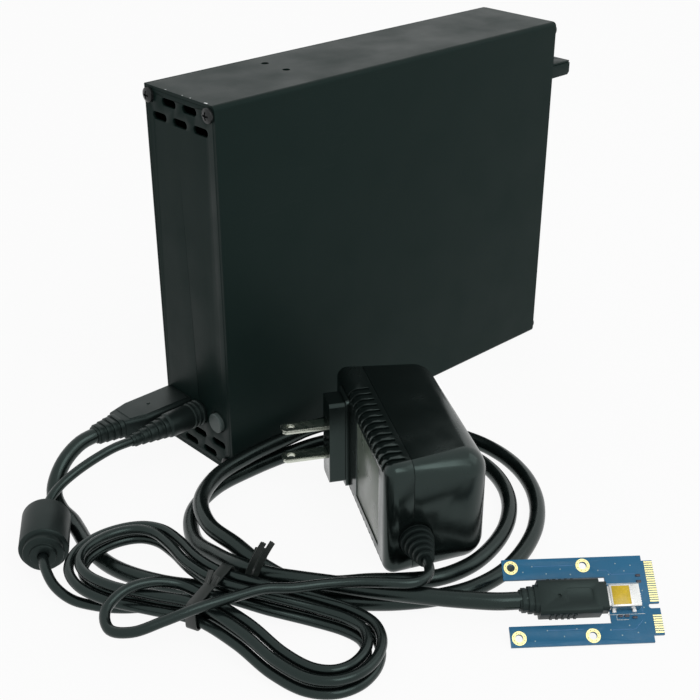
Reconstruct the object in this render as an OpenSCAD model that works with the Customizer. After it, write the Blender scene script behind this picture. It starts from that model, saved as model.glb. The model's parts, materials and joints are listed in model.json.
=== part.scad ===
// PCI expansion kit: a steel housing with two slots, its interface cable with a mini PCIe card,
// and a wall adapter with a thin cord. Millimetres, Z up, origin at the middle of the housing's bottom.

/* [Housing] */
// Length of the housing from front panel to rear panel
housing_l = 186; // [180:1:210]
// Height of the housing as it stands
housing_h = 150; // [148:1:165]
// Thickness of the folded steel sheet
sheet_t = 1.2; // [0.8:0.1:1.4]
// Outside radius of the sheet's bends
bend_r = 2; // [1.6:0.1:3]
// Diameter of the panel screws' heads
screw_head_d = 5.5; // [4.6:0.1:6]
// Length of one front vent
vent_l = 8.4; // [6:0.1:9.4]
// Width of one front vent
vent_w = 3; // [2:0.1:3.6]
// Distance between the middles of two vents in a row
vent_pitch = 12.3; // [11:0.1:13]
// Height of the main board's top above the floor
board_top_z = 14; // [12:0.5:14.5]
// Diameter of the round power button
button_d = 8; // [6:0.1:8.4]
// How far the power button goes in
button_travel = 1.5; // [1:0.1:2]
// Diameter of one rubber foot
foot_d = 12; // [8:0.5:14]
// Thickness of one rubber foot
foot_t = 4; // [2:0.5:5]

/* [Slots] */
// Distance between the two card slots
slot_pitch = 20.32; // [20:0.02:21]
// Gap between the two blank slot covers
slot_cover_gap = 1.92; // [1.4:0.02:3]
// Gap between the slot covers and the sides, which sets the housing's width
slot_side_gap = 0.44; // [0.2:0.02:3]
// Thickness of a blank slot cover
slot_cover_t = 0.9; // [0.7:0.1:1.1]
// Distance from the top down to the rear ledge that the slot covers are screwed to
ledge_drop = 20; // [19:0.5:22]
// How far the rear ledge stands out
ledge_l = 13.5; // [12:0.5:15]
// Length of one slot's connector
slot_l = 84.8; // [80:0.1:88]

/* [Interface cable] */
// Diameter of the thick interface cable
thick_d = 6; // [5:0.1:6.2]
// Width of the interface plug's overmould
plug_w = 16; // [14.5:0.1:17]
// Thickness of the interface plug's overmould
plug_h = 8; // [7:0.1:9]
// Length of the interface plug's overmould
plug_l = 30; // [26:0.5:30]
// Width of the small plug's overmould
mini_w = 11.8; // [10:0.1:13]
// Thickness of the small plug's overmould
mini_h = 7; // [6.4:0.1:7.4]

/* [Card] */
// Length of the card without its edge tab
card_l = 47.4; // [46:0.1:50]
// Width of the card
card_w = 30; // [30:0.1:32]
// Thickness of the card
card_t = 1; // [0.8:0.1:1.2]
// Length of the cut between the card's arms
arm_l = 34; // [32:0.1:34]
// Diameter of the card's screw holes
card_hole_d = 2.6; // [2.2:0.1:2.8]
// How far the card pulls off its plug
card_pull = 12; // [8:0.5:16]

/* [Power cord] */
// Diameter of the thin power cord
thin_d = 3.6; // [3:0.1:3.8]
// Diameter of the DC plug's body
dc_plug_d = 10.5; // [9:0.1:11]
// Diameter of the ferrite's cover
ferrite_d = 17.5; // [16:0.1:17.5]
// Length of the ferrite's cover
ferrite_l = 24.7; // [22:0.1:24.7]

/* [Adapter] */
// Thickness of the adapter's body
adapter_t = 38; // [36:0.5:42]
// Length of the adapter's body
adapter_l = 77; // [74:0.5:84]
// Height of the adapter's body as it lies
adapter_h = 45; // [44:0.5:50]
// Wall of the adapter's shells
adapter_wall = 2.2; // [1.6:0.1:2.6]
// Radius of the outer edges of the back shell
adapter_back_r = 9; // [6:0.5:11]
// Radius of the edges of the front shell
adapter_front_r = 4; // [3:0.5:6]
// How far the plug block stands out of the front shell
block_proud = 7.5; // [6:0.5:9]
// Length of one blade out of the plug block
blade_l = 17.3; // [16:0.1:18]
// Width of one blade
blade_w = 6.35; // [6:0.05:6.6]
// Thickness of one blade
blade_t = 1.5; // [1.3:0.1:1.7]
// Distance between the two blades
blade_gap = 12.7; // [12:0.1:13]

/* [Hidden] */

// Fineness of round outlines, and of the children of a hull
$fn = 48;
hull_fn = 32;
// Overrun of a cut past the face that it opens
over = 0.5;
// Clearance of flat fits and of round fits
flat_gap = 0.1;
round_gap = 0.3;
// Clearance of a screw in its hole
screw_gap = 0.05;

// Places in the housing
front_x = -housing_l / 2;
rear_x = housing_l / 2;
ledge_z = housing_h - ledge_drop;
slot_cover_w = slot_pitch - slot_cover_gap;
housing_w = slot_pitch + slot_cover_w + 2 * (slot_side_gap + sheet_t);
side_y = housing_w / 2;
inner_y = side_y - sheet_t;
panel_back_x = front_x + sheet_t;
rear_inner_x = rear_x - sheet_t;
bend_in_r = bend_r - sheet_t;
screw_r = 1.45;
screw_in_y = 3.2;
screw_in_z = 3.7;
screw_l = 6;
screw_head_t = 1.9;
tab_w = 4;
tab_h = 6.5;
vent_edge_z = 4.6;
vent_row_z = 6.2;
front_hole_z = 20.5;
plug_in_y = 7.3;
plug_y = inner_y - plug_in_y;
dc_y = -0.8;
button_y = -plug_y;
button_rim_gap = round_gap;
button_proud = 1.6;
button_flange_t = 1;
button_flange_w = 0.9;
button_stem_r = 1.5;
button_stem_l = 4.2;
foot_in = 8.5;
top_hole_r = 1.5;
top_hole_x = -43.4;
top_hole_y = 5.6;
top_hole_gap = 12.6;
flange_w = 10;

// Places of the slots
bracket_low_z = 10.9;
bracket_h = ledge_z + slot_cover_t - bracket_low_z;
tongue_h = 6;
tongue_w = 10.2;
window_w = 13;
window_low_z = 12;
cheek_h = 5.4;
cheek_cut = 1;
ledge_screw_out = 7;
slot_y = [-slot_pitch / 2, slot_pitch / 2];
slot_w = 8.4;
slot_h = 11.3;
slot_gap_w = 1.9;
slot_depth = 8.5;
slot_key_w = 1.6;
slot_key_share = 0.42;
slot_bevel = 1;

// Main board and what it carries
board_t = 1.6;
board_gap = 1.8;
board_front_gap = 3.4;
slot_rear_gap = 42.7;
standoff_w = 5;
standoff_in_y = 3.4;
standoff_screw_r = 1.4;
chip_w = 20;
chip_t = 1.6;
lead_w = 0.5;
lead_out = 1.4;
lead_t = 0.3;
leads = 14;
lead_pitch = 1.2;
socket_l = 14.4;
socket_shell_t = 0.4;
shell_w = 12;
shell_h = 4.5;
shell_t = 0.35;
shell_in = 11.5;
tongue_t = 1.9;
jack_w = 9;
jack_l = 13;
jack_h = 11.3;
barrel_r = 2.75;
barrel_bore_r = 1.25;
barrel_in = 9.5;
switch_w = 8;
switch_l = 9;
switch_h = 12;

// A rectangle with round corners, its middle at the origin
module round_rect(w, h, r) {
    square([w - 2 * r, h], center = true);
    square([w, h - 2 * r], center = true);
    for (sx = [-1, 1], sy = [-1, 1])
        translate([sx * (w / 2 - r), sy * (h / 2 - r)])
            circle(r);
}

// A slot with round ends along the first axis
module obround(l, w) {
    square([l - w, w], center = true);
    for (s = [-1, 1])
        translate([s * (l - w) / 2, 0])
            circle(w / 2);
}

// Lays a flat outline in the YZ plane and pulls it along X
module pull_x(x, l) {
    translate([x, 0, 0])
        rotate([90, 0, 90])
            linear_extrude(l)
                children();
}

// A pan head screw along X, its head's seat at the origin, its head towards -X
module pan_screw(head_d, head_t, shank_r, shank_l) {
    difference() {
        rotate([0, -90, 0])
            intersection() {
                cylinder(h = head_t, r = head_d / 2);
                translate([0, 0, head_t - head_d])
                    sphere(head_d);
            }
        for (turn = [0, 90])
            rotate([turn, 0, 0])
                translate([-head_t, 0, 0])
                    cube([head_t, head_d * 0.55, head_d * 0.13], center = true);
    }
    rotate([0, 90, 0])
        cylinder(h = shank_l, r = shank_r);
}

// Places of the four corner screws, seen along X
function corner_screws() = [
    for (sy = [-1, 1], z = [screw_in_z, housing_h - screw_in_z])
        [sy * (side_y - screw_in_y), z]
];

// Small tabs behind the two panels that the corner screws go into
module corner_tabs() {
    tab_z = sheet_t + tab_h / 2;
    color([0.09, 0.09, 0.10])
        for (x = [panel_back_x, rear_inner_x - sheet_t], s = [-1, 1], z = [tab_z, housing_h - tab_z])
            difference() {
                pull_x(x, sheet_t)
                    translate([s * (inner_y - tab_w / 2), z])
                        round_rect(tab_w, tab_h, bend_in_r + flat_gap);
                for (place = corner_screws())
                    translate([x - over, place[0], place[1]])
                        rotate([0, 90, 0])
                            cylinder(h = sheet_t + 2 * over, r = screw_r + screw_gap);
            }
}

// The folded cover: its big side with both bends and the floor, and its top from the upper bend on
module housing_cover() {
    color([0.09, 0.09, 0.10])
        pull_x(front_x, housing_l)
            difference() {
                translate([0, housing_h / 2])
                    round_rect(housing_w, housing_h, bend_r);
                translate([bend_r, housing_h / 2])
                    round_rect(2 * (inner_y + bend_r), housing_h - 2 * sheet_t, bend_in_r);
                translate([inner_y, -over])
                    square([housing_w, housing_h + 2 * over]);
                translate([bend_r - side_y, housing_h - 2 * sheet_t])
                    square([housing_w, 3 * sheet_t]);
            }
}

module cover_top() {
    color([0.09, 0.09, 0.10])
        difference() {
            translate([front_x, bend_r - side_y, housing_h - sheet_t])
                cube([housing_l, side_y - bend_r + inner_y, sheet_t]);
            for (s = [-1, 1])
                translate([top_hole_x, top_hole_y + s * top_hole_gap / 2, housing_h - 2 * sheet_t])
                    cylinder(h = 3 * sheet_t, r = top_hole_r);
        }
}

module housing_base() {
    flange_l = housing_l - 2 * (screw_l + flat_gap);
    color([0.09, 0.09, 0.10]) {
        translate([front_x, inner_y, 0])
            cube([housing_l, sheet_t, housing_h]);
        for (z = [sheet_t, housing_h - 2 * sheet_t])
            translate([-flange_l / 2, inner_y - flange_w, z])
                cube([flange_l, flange_w, sheet_t]);
    }
}

// Two rows of vents at the bottom of a panel, three above two
module vent_rows() {
    for (i = [0, 1])
        translate([(i - 0.5) * vent_pitch, vent_edge_z])
            obround(vent_l, vent_w);
    for (i = [-1, 0, 1])
        translate([i * vent_pitch, vent_edge_z + vent_row_z])
            obround(vent_l, vent_w);
}

// Outline of a panel that lies flush inside the folded sheets
module panel_outline() {
    translate([0, housing_h / 2])
        round_rect(2 * (inner_y - flat_gap), housing_h - 2 * (sheet_t + flat_gap), bend_in_r);
}

module front_panel() {
    color([0.10, 0.10, 0.11])
        difference() {
            pull_x(front_x, sheet_t)
                difference() {
                    panel_outline();
                    vent_rows();
                    translate([0, housing_h])
                        mirror([0, 1])
                            vent_rows();
                    translate([plug_y, front_hole_z])
                        square([shell_w + 2 * flat_gap, shell_h + 2 * flat_gap], center = true);
                }
            for (place = corner_screws())
                translate([front_x - over, place[0], place[1]])
                    rotate([0, 90, 0])
                        cylinder(h = sheet_t + 2 * over, r = screw_r + screw_gap);
            translate([front_x - over, dc_y, front_hole_z])
                rotate([0, 90, 0])
                    cylinder(h = sheet_t + 2 * over, r = barrel_r + round_gap);
            translate([front_x - over, button_y, front_hole_z])
                rotate([0, 90, 0])
                    cylinder(h = sheet_t + 2 * over, r = button_d / 2 + button_rim_gap);
        }
}

// A cheek under the rear ledge, with its outer lower corner cut off
module cheek() {
    linear_extrude(sheet_t)
        polygon([
            [0, 0],
            [ledge_l, 0],
            [ledge_l, -cheek_h + cheek_cut],
            [ledge_l - cheek_cut, -cheek_h],
            [0, -cheek_h]
        ]);
}

module rear_panel() {
    slit_h = slot_cover_t + 2 * flat_gap;
    color([0.10, 0.10, 0.11]) {
        difference() {
            pull_x(rear_inner_x, sheet_t)
                difference() {
                    panel_outline();
                    for (y = slot_y) {
                        translate([y - window_w / 2, window_low_z])
                            square([window_w, ledge_z - sheet_t - window_low_z]);
                        translate([y - slot_cover_w / 2 - flat_gap, ledge_z])
                            square([slot_cover_w + 2 * flat_gap, slit_h]);
                    }
                }
            for (place = corner_screws())
                translate([rear_inner_x - over, place[0], place[1]])
                    rotate([0, 90, 0])
                        cylinder(h = sheet_t + 2 * over, r = screw_r + screw_gap);
        }
        difference() {
            translate([rear_x - sheet_t, -inner_y + flat_gap, ledge_z - sheet_t])
                cube([ledge_l + sheet_t, 2 * (inner_y - flat_gap), sheet_t]);
            for (y = slot_y)
                translate([rear_x + ledge_screw_out, y, ledge_z - sheet_t - over])
                    cylinder(h = sheet_t + 2 * over, r = screw_r + screw_gap);
        }
        for (y = [inner_y - flat_gap, -inner_y + flat_gap + sheet_t])
            translate([rear_x, y, ledge_z])
                rotate([90, 0, 0])
                    cheek();
    }
}

// A blank slot cover behind the rear panel, its tab out over the ledge
module slot_cover(y) {
    back_x = rear_inner_x - slot_cover_t;
    color([0.62, 0.63, 0.65]) {
        translate([back_x, y - slot_cover_w / 2, bracket_low_z + tongue_h])
            cube([slot_cover_t, slot_cover_w, bracket_h - tongue_h]);
        translate([back_x, y - tongue_w / 2, bracket_low_z])
            cube([slot_cover_t, tongue_w, tongue_h]);
        difference() {
            translate([back_x, y - slot_cover_w / 2, ledge_z])
                cube([slot_cover_t + sheet_t + ledge_l, slot_cover_w, slot_cover_t]);
            translate([rear_x + ledge_screw_out, y, ledge_z - over])
                cylinder(h = slot_cover_t + 2 * over, r = screw_r + round_gap);
        }
    }
}

module slot_cover_a() {
    slot_cover(slot_y[0]);
}

module slot_cover_b() {
    slot_cover(slot_y[1]);
}

module slot_cover_screws() {
    color([0.72, 0.72, 0.74])
        for (y = slot_y)
            translate([rear_x + ledge_screw_out, y, ledge_z + slot_cover_t])
                rotate([0, 90, 0])
                    pan_screw(screw_head_d, screw_head_t, screw_r, screw_l);
}

module front_screws() {
    color([0.12, 0.12, 0.13])
        for (place = corner_screws())
            translate([front_x, place[0], place[1]])
                pan_screw(screw_head_d, screw_head_t, screw_r, screw_l);
}

module rear_screws() {
    color([0.12, 0.12, 0.13])
        for (place = corner_screws())
            translate([rear_x, place[0], place[1]])
                mirror([1, 0, 0])
                    pan_screw(screw_head_d, screw_head_t, screw_r, screw_l);
}

// Four round feet with a small draft, on the far big side
module rubber_feet() {
    color([0.05, 0.05, 0.05])
        for (x = [front_x + foot_in, rear_x - foot_in], z = [foot_in, housing_h - foot_in])
            translate([x, side_y, z])
                rotate([-90, 0, 0])
                    difference() {
                        cylinder(h = foot_t, r1 = foot_d / 2, r2 = foot_d / 2 - foot_t / 4);
                        translate([0, 0, foot_t * 0.75])
                            cylinder(h = foot_t, r = foot_d / 4);
                    }
}

board_x0 = panel_back_x + board_front_gap;
board_x1 = rear_inner_x - slot_cover_t - board_front_gap;
board_low_z = board_top_z - board_t;
slot_x1 = board_x1 - slot_rear_gap;
slot_x = slot_x1 - slot_l;

// Places of the standoffs: at both ends of the slots and at the rear edge
function standoff_places() =
    let (half_w = standoff_w / 2 + round_gap)
    [
        for (x = [slot_x - half_w, slot_x1 + half_w, board_x1 - standoff_w], s = [-1, 1])
            [x, s * (inner_y - board_gap - standoff_in_y + standoff_screw_r)]
    ];

module main_board() {
    color([0.05, 0.25, 0.12])
        difference() {
            translate([board_x0, -inner_y + board_gap, board_low_z])
                cube([board_x1 - board_x0, 2 * (inner_y - board_gap), board_t]);
            for (place = standoff_places())
                translate([place[0], place[1], board_low_z - over])
                    cylinder(h = board_t + 2 * over, r = standoff_screw_r + screw_gap);
        }
}

module board_standoffs() {
    color([0.75, 0.62, 0.32])
        for (place = standoff_places())
            let (low_z = place[1] > 0 ? 2 * sheet_t : sheet_t)
            translate([place[0], place[1], low_z])
                difference() {
                    cylinder(h = board_low_z - low_z, r = standoff_w / 2, $fn = 6);
                    translate([0, 0, sheet_t])
                        cylinder(h = board_low_z, r = standoff_screw_r + screw_gap);
                }
}

module board_screws() {
    color([0.72, 0.72, 0.74])
        for (place = standoff_places())
            translate([place[0], place[1], board_top_z])
                rotate([0, 90, 0])
                    pan_screw(standoff_w, screw_head_t, standoff_screw_r, screw_l);
}

// A card slot: a long block with bevelled ends, its gap broken by a key
module pci_slot(y) {
    key_x = slot_x + slot_l * slot_key_share;
    color([0.90, 0.88, 0.80])
        translate([0, y, board_top_z])
            difference() {
                rotate([90, 0, 0])
                    translate([0, 0, -slot_w / 2])
                        linear_extrude(slot_w)
                            polygon([
                                [slot_x, 0],
                                [slot_x1, 0],
                                [slot_x1, slot_h - slot_bevel],
                                [slot_x1 - slot_bevel, slot_h],
                                [slot_x + slot_bevel, slot_h],
                                [slot_x, slot_h - slot_bevel]
                            ]);
                for (x = [[slot_x + 2 * slot_bevel, key_x], [key_x + slot_key_w, slot_x1 - 2 * slot_bevel]])
                    translate([x[0], -slot_gap_w / 2, slot_h - slot_depth])
                        cube([x[1] - x[0], slot_gap_w, slot_h]);
                for (y = [-slot_w / 4, slot_w / 4])
                    translate([slot_x + 3 * slot_bevel, y - slot_bevel / 2, slot_h - slot_depth / 4])
                        cube([slot_l - 6 * slot_bevel, slot_bevel, slot_h]);
            }
}

module pci_slot_a() {
    pci_slot(slot_y[0]);
}

module pci_slot_b() {
    pci_slot(slot_y[1]);
}

// The bridge chip sits between the slots' rear ends and the rear panel, with its leads on all four sides
module bridge_chip() {
    chip_x = slot_x1 + slot_rear_gap / 2;
    color([0.10, 0.10, 0.10])
        translate([chip_x, 0, board_top_z])
            difference() {
                translate([0, 0, lead_t])
                    linear_extrude(chip_t)
                        round_rect(chip_w, chip_w, lead_out / 2);
                translate([-chip_w / 3, -chip_w / 3, lead_t + chip_t * 0.9])
                    cylinder(h = chip_t, r = lead_out / 2);
            }
    color([0.70, 0.70, 0.72])
        for (turn = [0, 90, 180, 270], i = [0:leads - 1])
            translate([chip_x, 0, board_top_z])
                rotate([0, 0, turn])
                    translate([chip_w / 2 - lead_out, (i - (leads - 1) / 2) * lead_pitch - lead_w / 2, 0])
                        cube([2 * lead_out, lead_w, lead_t]);
}

// The interface socket: a raised foot and a metal mouth with its tongue
module interface_socket() {
    mouth_w = shell_w + 2 * (flat_gap + socket_shell_t);
    mouth_h = shell_h + 2 * (flat_gap + socket_shell_t);
    inner_w = shell_w - 2 * shell_t - 4 * flat_gap;
    color([0.70, 0.71, 0.73])
        difference() {
            union() {
                pull_x(panel_back_x + flat_gap, socket_l)
                    translate([plug_y, front_hole_z])
                        square([mouth_w, mouth_h], center = true);
                translate([board_x0, plug_y - mouth_w / 2 + socket_shell_t, board_top_z])
                    cube([
                        socket_l - board_front_gap,
                        mouth_w - 2 * socket_shell_t,
                        front_hole_z - board_top_z
                    ]);
            }
            pull_x(panel_back_x - over, socket_l - tongue_t)
                translate([plug_y, front_hole_z])
                    square([shell_w + 2 * flat_gap, shell_h + 2 * flat_gap], center = true);
        }
    color([0.10, 0.20, 0.50])
        translate([panel_back_x + tongue_t, plug_y - inner_w / 2, front_hole_z + flat_gap])
            cube([socket_l - 2 * tongue_t, inner_w, tongue_t - 3 * flat_gap]);
}

module dc_jack() {
    color([0.12, 0.12, 0.12])
        difference() {
            union() {
                translate([board_x0, dc_y - jack_w / 2, board_top_z])
                    cube([jack_l, jack_w, jack_h]);
                translate([panel_back_x + flat_gap, dc_y, front_hole_z])
                    rotate([0, 90, 0])
                        cylinder(h = jack_l, r = jack_w / 2 - flat_gap);
            }
            translate([panel_back_x - over, dc_y, front_hole_z])
                rotate([0, 90, 0])
                    cylinder(h = barrel_in + over, r = barrel_r + screw_gap);
        }
    color([0.75, 0.75, 0.76])
        translate([panel_back_x + tongue_t, dc_y, front_hole_z])
            rotate([0, 90, 0])
                cylinder(h = barrel_in, r = barrel_bore_r - round_gap);
}

// The button: a cap, a collar that keeps it behind the panel, and a stem into the switch
module power_button() {
    color([0.62, 0.66, 0.66])
        translate([front_x, button_y, front_hole_z])
            rotate([0, 90, 0]) {
                translate([0, 0, -button_proud])
                    cylinder(h = button_proud / 4, r1 = button_d / 2 - button_proud / 4, r2 = button_d / 2);
                translate([0, 0, -button_proud * 0.75])
                    cylinder(h = button_proud * 0.75 + sheet_t + flat_gap, r = button_d / 2);
                translate([0, 0, sheet_t + flat_gap])
                    cylinder(h = button_flange_t, r = button_d / 2 + button_flange_w);
                translate([0, 0, sheet_t + flat_gap + button_flange_t])
                    cylinder(h = button_stem_l, r = button_stem_r);
            }
}

module button_switch() {
    face_x = panel_back_x + flat_gap + button_flange_t + button_travel + round_gap;
    color([0.15, 0.15, 0.16])
        difference() {
            translate([face_x, button_y - switch_w / 2, board_top_z])
                cube([switch_l, switch_w, switch_h]);
            translate([face_x - over, button_y, front_hole_z])
                rotate([0, 90, 0])
                    cylinder(h = button_stem_l + button_travel, r = button_stem_r + round_gap);
        }
}

// Small parts in a row between the two slots: round capacitors, each with a flat regulator beside it
cap_r = 3.2;
cap_h = 9;
part_share = [0.1, 0.35, 0.6, 0.85];
module board_parts() {
    color([0.20, 0.22, 0.30])
        for (share = part_share)
            translate([slot_x + slot_l * share, 0, board_top_z])
                cylinder(h = cap_h, r = cap_r);
    color([0.12, 0.12, 0.12])
        for (share = part_share)
            translate([slot_x + slot_l * share + 2 * cap_r, -cap_r / 2, board_top_z])
                cube([2 * cap_r, cap_r, cap_r / 2]);
}

// Interface plug and cable
ridge_l = 11;
ridge_n = 4;
plug_r = 1.6;
plug_neck_share = 0.86;
plug_tail_x = front_x - plug_l - ridge_l;

// A ribbed relief along -X from the origin: rings that grow smaller, with grooves between them
module ribbed_relief(l, n, w0, h0, w1, h1) {
    step = l / n;
    for (i = [0:n - 1]) {
        k = (i + 0.5) / n;
        w = w0 + (w1 - w0) * k;
        h = h0 + (h1 - h0) * k;
        translate([-step * (i + 0.64), 0, 0])
            rotate([90, 0, 90])
                linear_extrude(step * 0.64)
                    round_rect(w, h, min(w, h) * 0.4);
        translate([-step * (i + 1), 0, 0])
            rotate([90, 0, 90])
                linear_extrude(step)
                    round_rect(w * plug_neck_share, h * plug_neck_share, min(w, h) * 0.34);
    }
}

module interface_plug() {
    color([0.08, 0.08, 0.09])
        translate([front_x, plug_y, front_hole_z]) {
            rotate([90, 0, -90])
                linear_extrude(plug_l * 0.72)
                    round_rect(plug_w, plug_h, plug_r);
            translate([-plug_l * 0.72, 0, 0])
                rotate([90, 0, -90])
                    hull() {
                        linear_extrude(plug_r / 8)
                            round_rect(plug_w, plug_h, plug_r, $fn = hull_fn);
                        translate([0, 0, plug_l * 0.28 - plug_r / 8])
                            linear_extrude(plug_r / 8)
                                round_rect(plug_w * 0.72, plug_h, plug_r, $fn = hull_fn);
                    }
            translate([-plug_l, 0, 0])
                ribbed_relief(ridge_l, ridge_n, plug_w * 0.72, plug_h * 1.05, thick_d * 1.2, thick_d * 1.2);
        }
}

module plug_shell() {
    color([0.75, 0.75, 0.77])
        pull_x(front_x, shell_in)
            translate([plug_y, front_hole_z])
                difference() {
                    square([shell_w, shell_h], center = true);
                    translate([0, shell_h / 8])
                        square([shell_w - 2 * shell_t, shell_h * 0.75 - 2 * shell_t], center = true);
                }
}

// A tube along points: rings square to the path, their sides flat at the bottom
function unit(v) = v / norm(v);
function way(p, i, a, b) =
    i == 0 ? unit(a) :
    i == len(p) - 1 ? unit(b) :
    unit(unit(p[i + 1] - p[i]) + unit(p[i] - p[i - 1]));
function tube_ring(c, t, r, sides, turn) =
    let (right = unit(cross(t, [0, 0, 1])), up = cross(right, t))
    [for (j = [0:sides - 1]) let (a = 360 * j / sides + turn) c + r * (cos(a) * right + sin(a) * up)];
module tube(p, r, sides, a, b) {
    n = len(p);
    turn = sides == 8 ? 22.5 : 0;
    rings = [for (i = [0:n - 1]) each tube_ring(p[i], way(p, i, a, b), r, sides, turn)];
    walls = [
        for (i = [0:n - 2], j = [0:sides - 1])
            let (k = (j + 1) % sides, q = i * sides)
            each [[q + j, q + sides + j, q + k], [q + k, q + sides + j, q + sides + k]]
    ];
    caps = [
        for (j = [1:sides - 2])
            each [[0, j, j + 1], [(n - 1) * sides, (n - 1) * sides + j + 1, (n - 1) * sides + j]]
    ];
    polyhedron(points = rings, faces = concat(walls, caps), convexity = 6);
}

// Least distance between two stretches of a path that are more than a few steps apart, less its diameter
function least_gap(p, d, skip) =
    min([for (i = [0:len(p) - 1 - skip], j = [i + skip:len(p) - 1]) norm(p[i] - p[j])]) - d;
function path_length(p) = len(p) < 2 ? 0 : sumv([for (i = [1:len(p) - 1]) norm(p[i] - p[i - 1])], 0);
function sumv(v, i) = i == len(v) ? 0 : v[i] + sumv(v, i + 1);
function smooth(v) = let (x = min(1, max(0, v))) x * x * (3 - 2 * x);

// The coil of thick cable: two loops, the first one rides over the second along the housing, and its
// end rises over the lead
steps = 24;
coil_turns = [-0.2, 1.5];
coil_x = -71;
coil_y = -80;
coil_a = 64.2;
coil_b = 57.5;
coil_pitch = 10.5;
coil_in_share = 0.7;
coil_out_share = 0.5;
coil_far_share = 0.18;
coil_near_share = 0.16;
coil_hump = 6.5;
coil_hump_up_share = [0.03, 0.1];
coil_hump_down_share = [0.57, 0.11];
coil_end_share = [1.42, 0.08];
coil_end_rise = 7;
function coil_point(t) =
    let (
        f = 360 * t,
        inward = coil_pitch * max(0, min(1, t / coil_in_share, (coil_turns[1] - t) / coil_out_share)),
        bulge = sin(2 * f) * sin(2 * f),
        corner = cos(f) > 0 ? 1 : sin(f) > 0 ? 1 + coil_far_share * bulge : 1 - coil_near_share * bulge,
        rise = coil_hump * smooth((t - coil_hump_up_share[0]) / coil_hump_up_share[1])
            * smooth((coil_hump_down_share[0] - t) / coil_hump_down_share[1])
            + coil_end_rise * smooth((t - coil_end_share[0]) / coil_end_share[1])
    )
    [
        coil_x + (coil_a - inward) * cos(f) * corner,
        coil_y + (coil_b - inward) * sin(f) * corner,
        thick_d / 2 + rise
    ];
coil_n = round((coil_turns[1] - coil_turns[0]) * steps);
coil_loop = [for (i = [0:coil_n]) coil_point(coil_turns[0] + (coil_turns[1] - coil_turns[0]) * i / coil_n)];
coil_in = unit(coil_loop[1] - coil_loop[0]);
coil_out = unit(coil_loop[coil_n] - coil_loop[coil_n - 1]);
coil_path = concat([coil_loop[0] - thick_d * coil_in], coil_loop, [coil_loop[coil_n] + thick_d * coil_out]);

// Route of the thick cable from the housing to the coil, and from the coil to the card's plug
lead_route = [
    [-134, 12.5, 20.5], [-140, 13, 19.4], [-147, 12.5, 15.8], [-153, 10, 11.5], [-157.5, 5.5, 7.6],
    [-159, -1, 4.6], [-158.8, -8, 3.2], [-160.3, -15, 3], [-162.3, -23, 3], [-163.5, -32, 3],
    [-163, -42, 3], [-160, -52, 3], [-155, -62, 3], [-148.5, -71, 3], [-141.5, -79, 3.1],
    [-134, -86.5, 3.6], [-128.3, -96.5, 3.4], [-120.5, -106.5, 3], [-112, -115.5, 3],
    [-102.5, -124, 3], [-91.5, -131.2, 3], [-80, -136, 3], [-66, -137.5, 3]
];
tail_route = [
    [-131.5, -89.5, 10.2], [-125.5, -98.5, 10.1], [-118.5, -108, 9.9], [-112, -117.5, 9.8],
    [-105.5, -126.5, 9.8], [-99, -135.5, 10], [-92, -144.5, 10.2]
];
lead_path = concat(lead_route, [coil_path[0]]);

module interface_lead() {
    color([0.07, 0.07, 0.08])
        tube(lead_path, thick_d / 2, 8, [-1, 0, 0], coil_in);
}

module interface_coil() {
    echo(coil_least_gap = least_gap(coil_path, thick_d, 6), coil_length = path_length(coil_path));
    color([0.07, 0.07, 0.08])
        tube(coil_path, thick_d / 2, 6, coil_in, coil_out);
}

// The card lies on its long edge and leans back on its plug
card_x = -90.1;
card_y = -162.8;
card_turn = -39.8;
card_lean = 31.3;
card_along = [cos(card_turn), sin(card_turn), 0];
card_across = [-sin(card_turn) * cos(card_lean), cos(card_turn) * cos(card_lean), sin(card_lean)];
card_up = cross(card_along, card_across);
function card_point(x, y, z) = [card_x, card_y, 0] + x * card_along + y * card_across + z * card_up;
module on_card() {
    translate([card_x, card_y, 0])
        rotate([0, 0, card_turn])
            rotate([card_lean, 0, 0])
                children();
}

// Sizes on the card, along it from its arms, across it from its lower edge
socket_y = card_w / 2;
socket_w = 7.7;
socket_len = 9.9;
socket_h = 3.9;
socket_wall = 0.3;
mini_z = card_t + socket_h / 2;
mini_relief_l = 6.2;
mini_relief_n = 3;
mini_start = 3.9;
mini_body_l = 20.4;
mini_neck_l = 2.6;
mini_r = 1.3;
nose_w = 6.7;
nose_h = 2.9;
nose_t = 0.3;
nose_in = 5.6;
mini_end = mini_start + mini_relief_l + mini_body_l + mini_neck_l;
plug_centre = card_point(mini_start, socket_y, mini_z);
tail_end = concat(tail_route, [plug_centre - 1.2 * thick_d * card_along, plug_centre]);
tail_path = concat([coil_path[coil_n + 2]], tail_end);

module interface_tail() {
    color([0.07, 0.07, 0.08])
        tube(tail_path, thick_d / 2, 8, coil_out, card_along);
}

// A twist tie: a flat band round the strands with two ends standing up
tie_x = -128.2;
tie_y = -88.6;
tie_turn = 38;
tie_w = 3.6;
tie_t = 0.6;
tie_in_w = 14.4;
tie_in_h = 12.9;
tie_end_h = 22;
tie_end_lean = 14;
module coil_tie() {
    color([0.06, 0.06, 0.06])
        translate([tie_x, tie_y, 0])
            rotate([0, 0, tie_turn]) {
                translate([0, tie_w / 2, 0])
                    rotate([90, 0, 0])
                        linear_extrude(tie_w)
                            difference() {
                                translate([0, tie_in_h / 2 + tie_t])
                                    round_rect(tie_in_w + 2 * tie_t, tie_in_h + 2 * tie_t, 4 * tie_t);
                                translate([0, tie_in_h / 2 + tie_t])
                                    round_rect(tie_in_w, tie_in_h, 3 * tie_t);
                            }
                for (s = [-1, 1])
                    translate([s * tie_t, 0, tie_in_h + tie_t])
                        rotate([0, s * tie_end_lean, 0])
                            translate([-tie_t / 2, -tie_w / 2, 0])
                                cube([tie_t, tie_w, tie_end_h]);
            }
}

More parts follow.
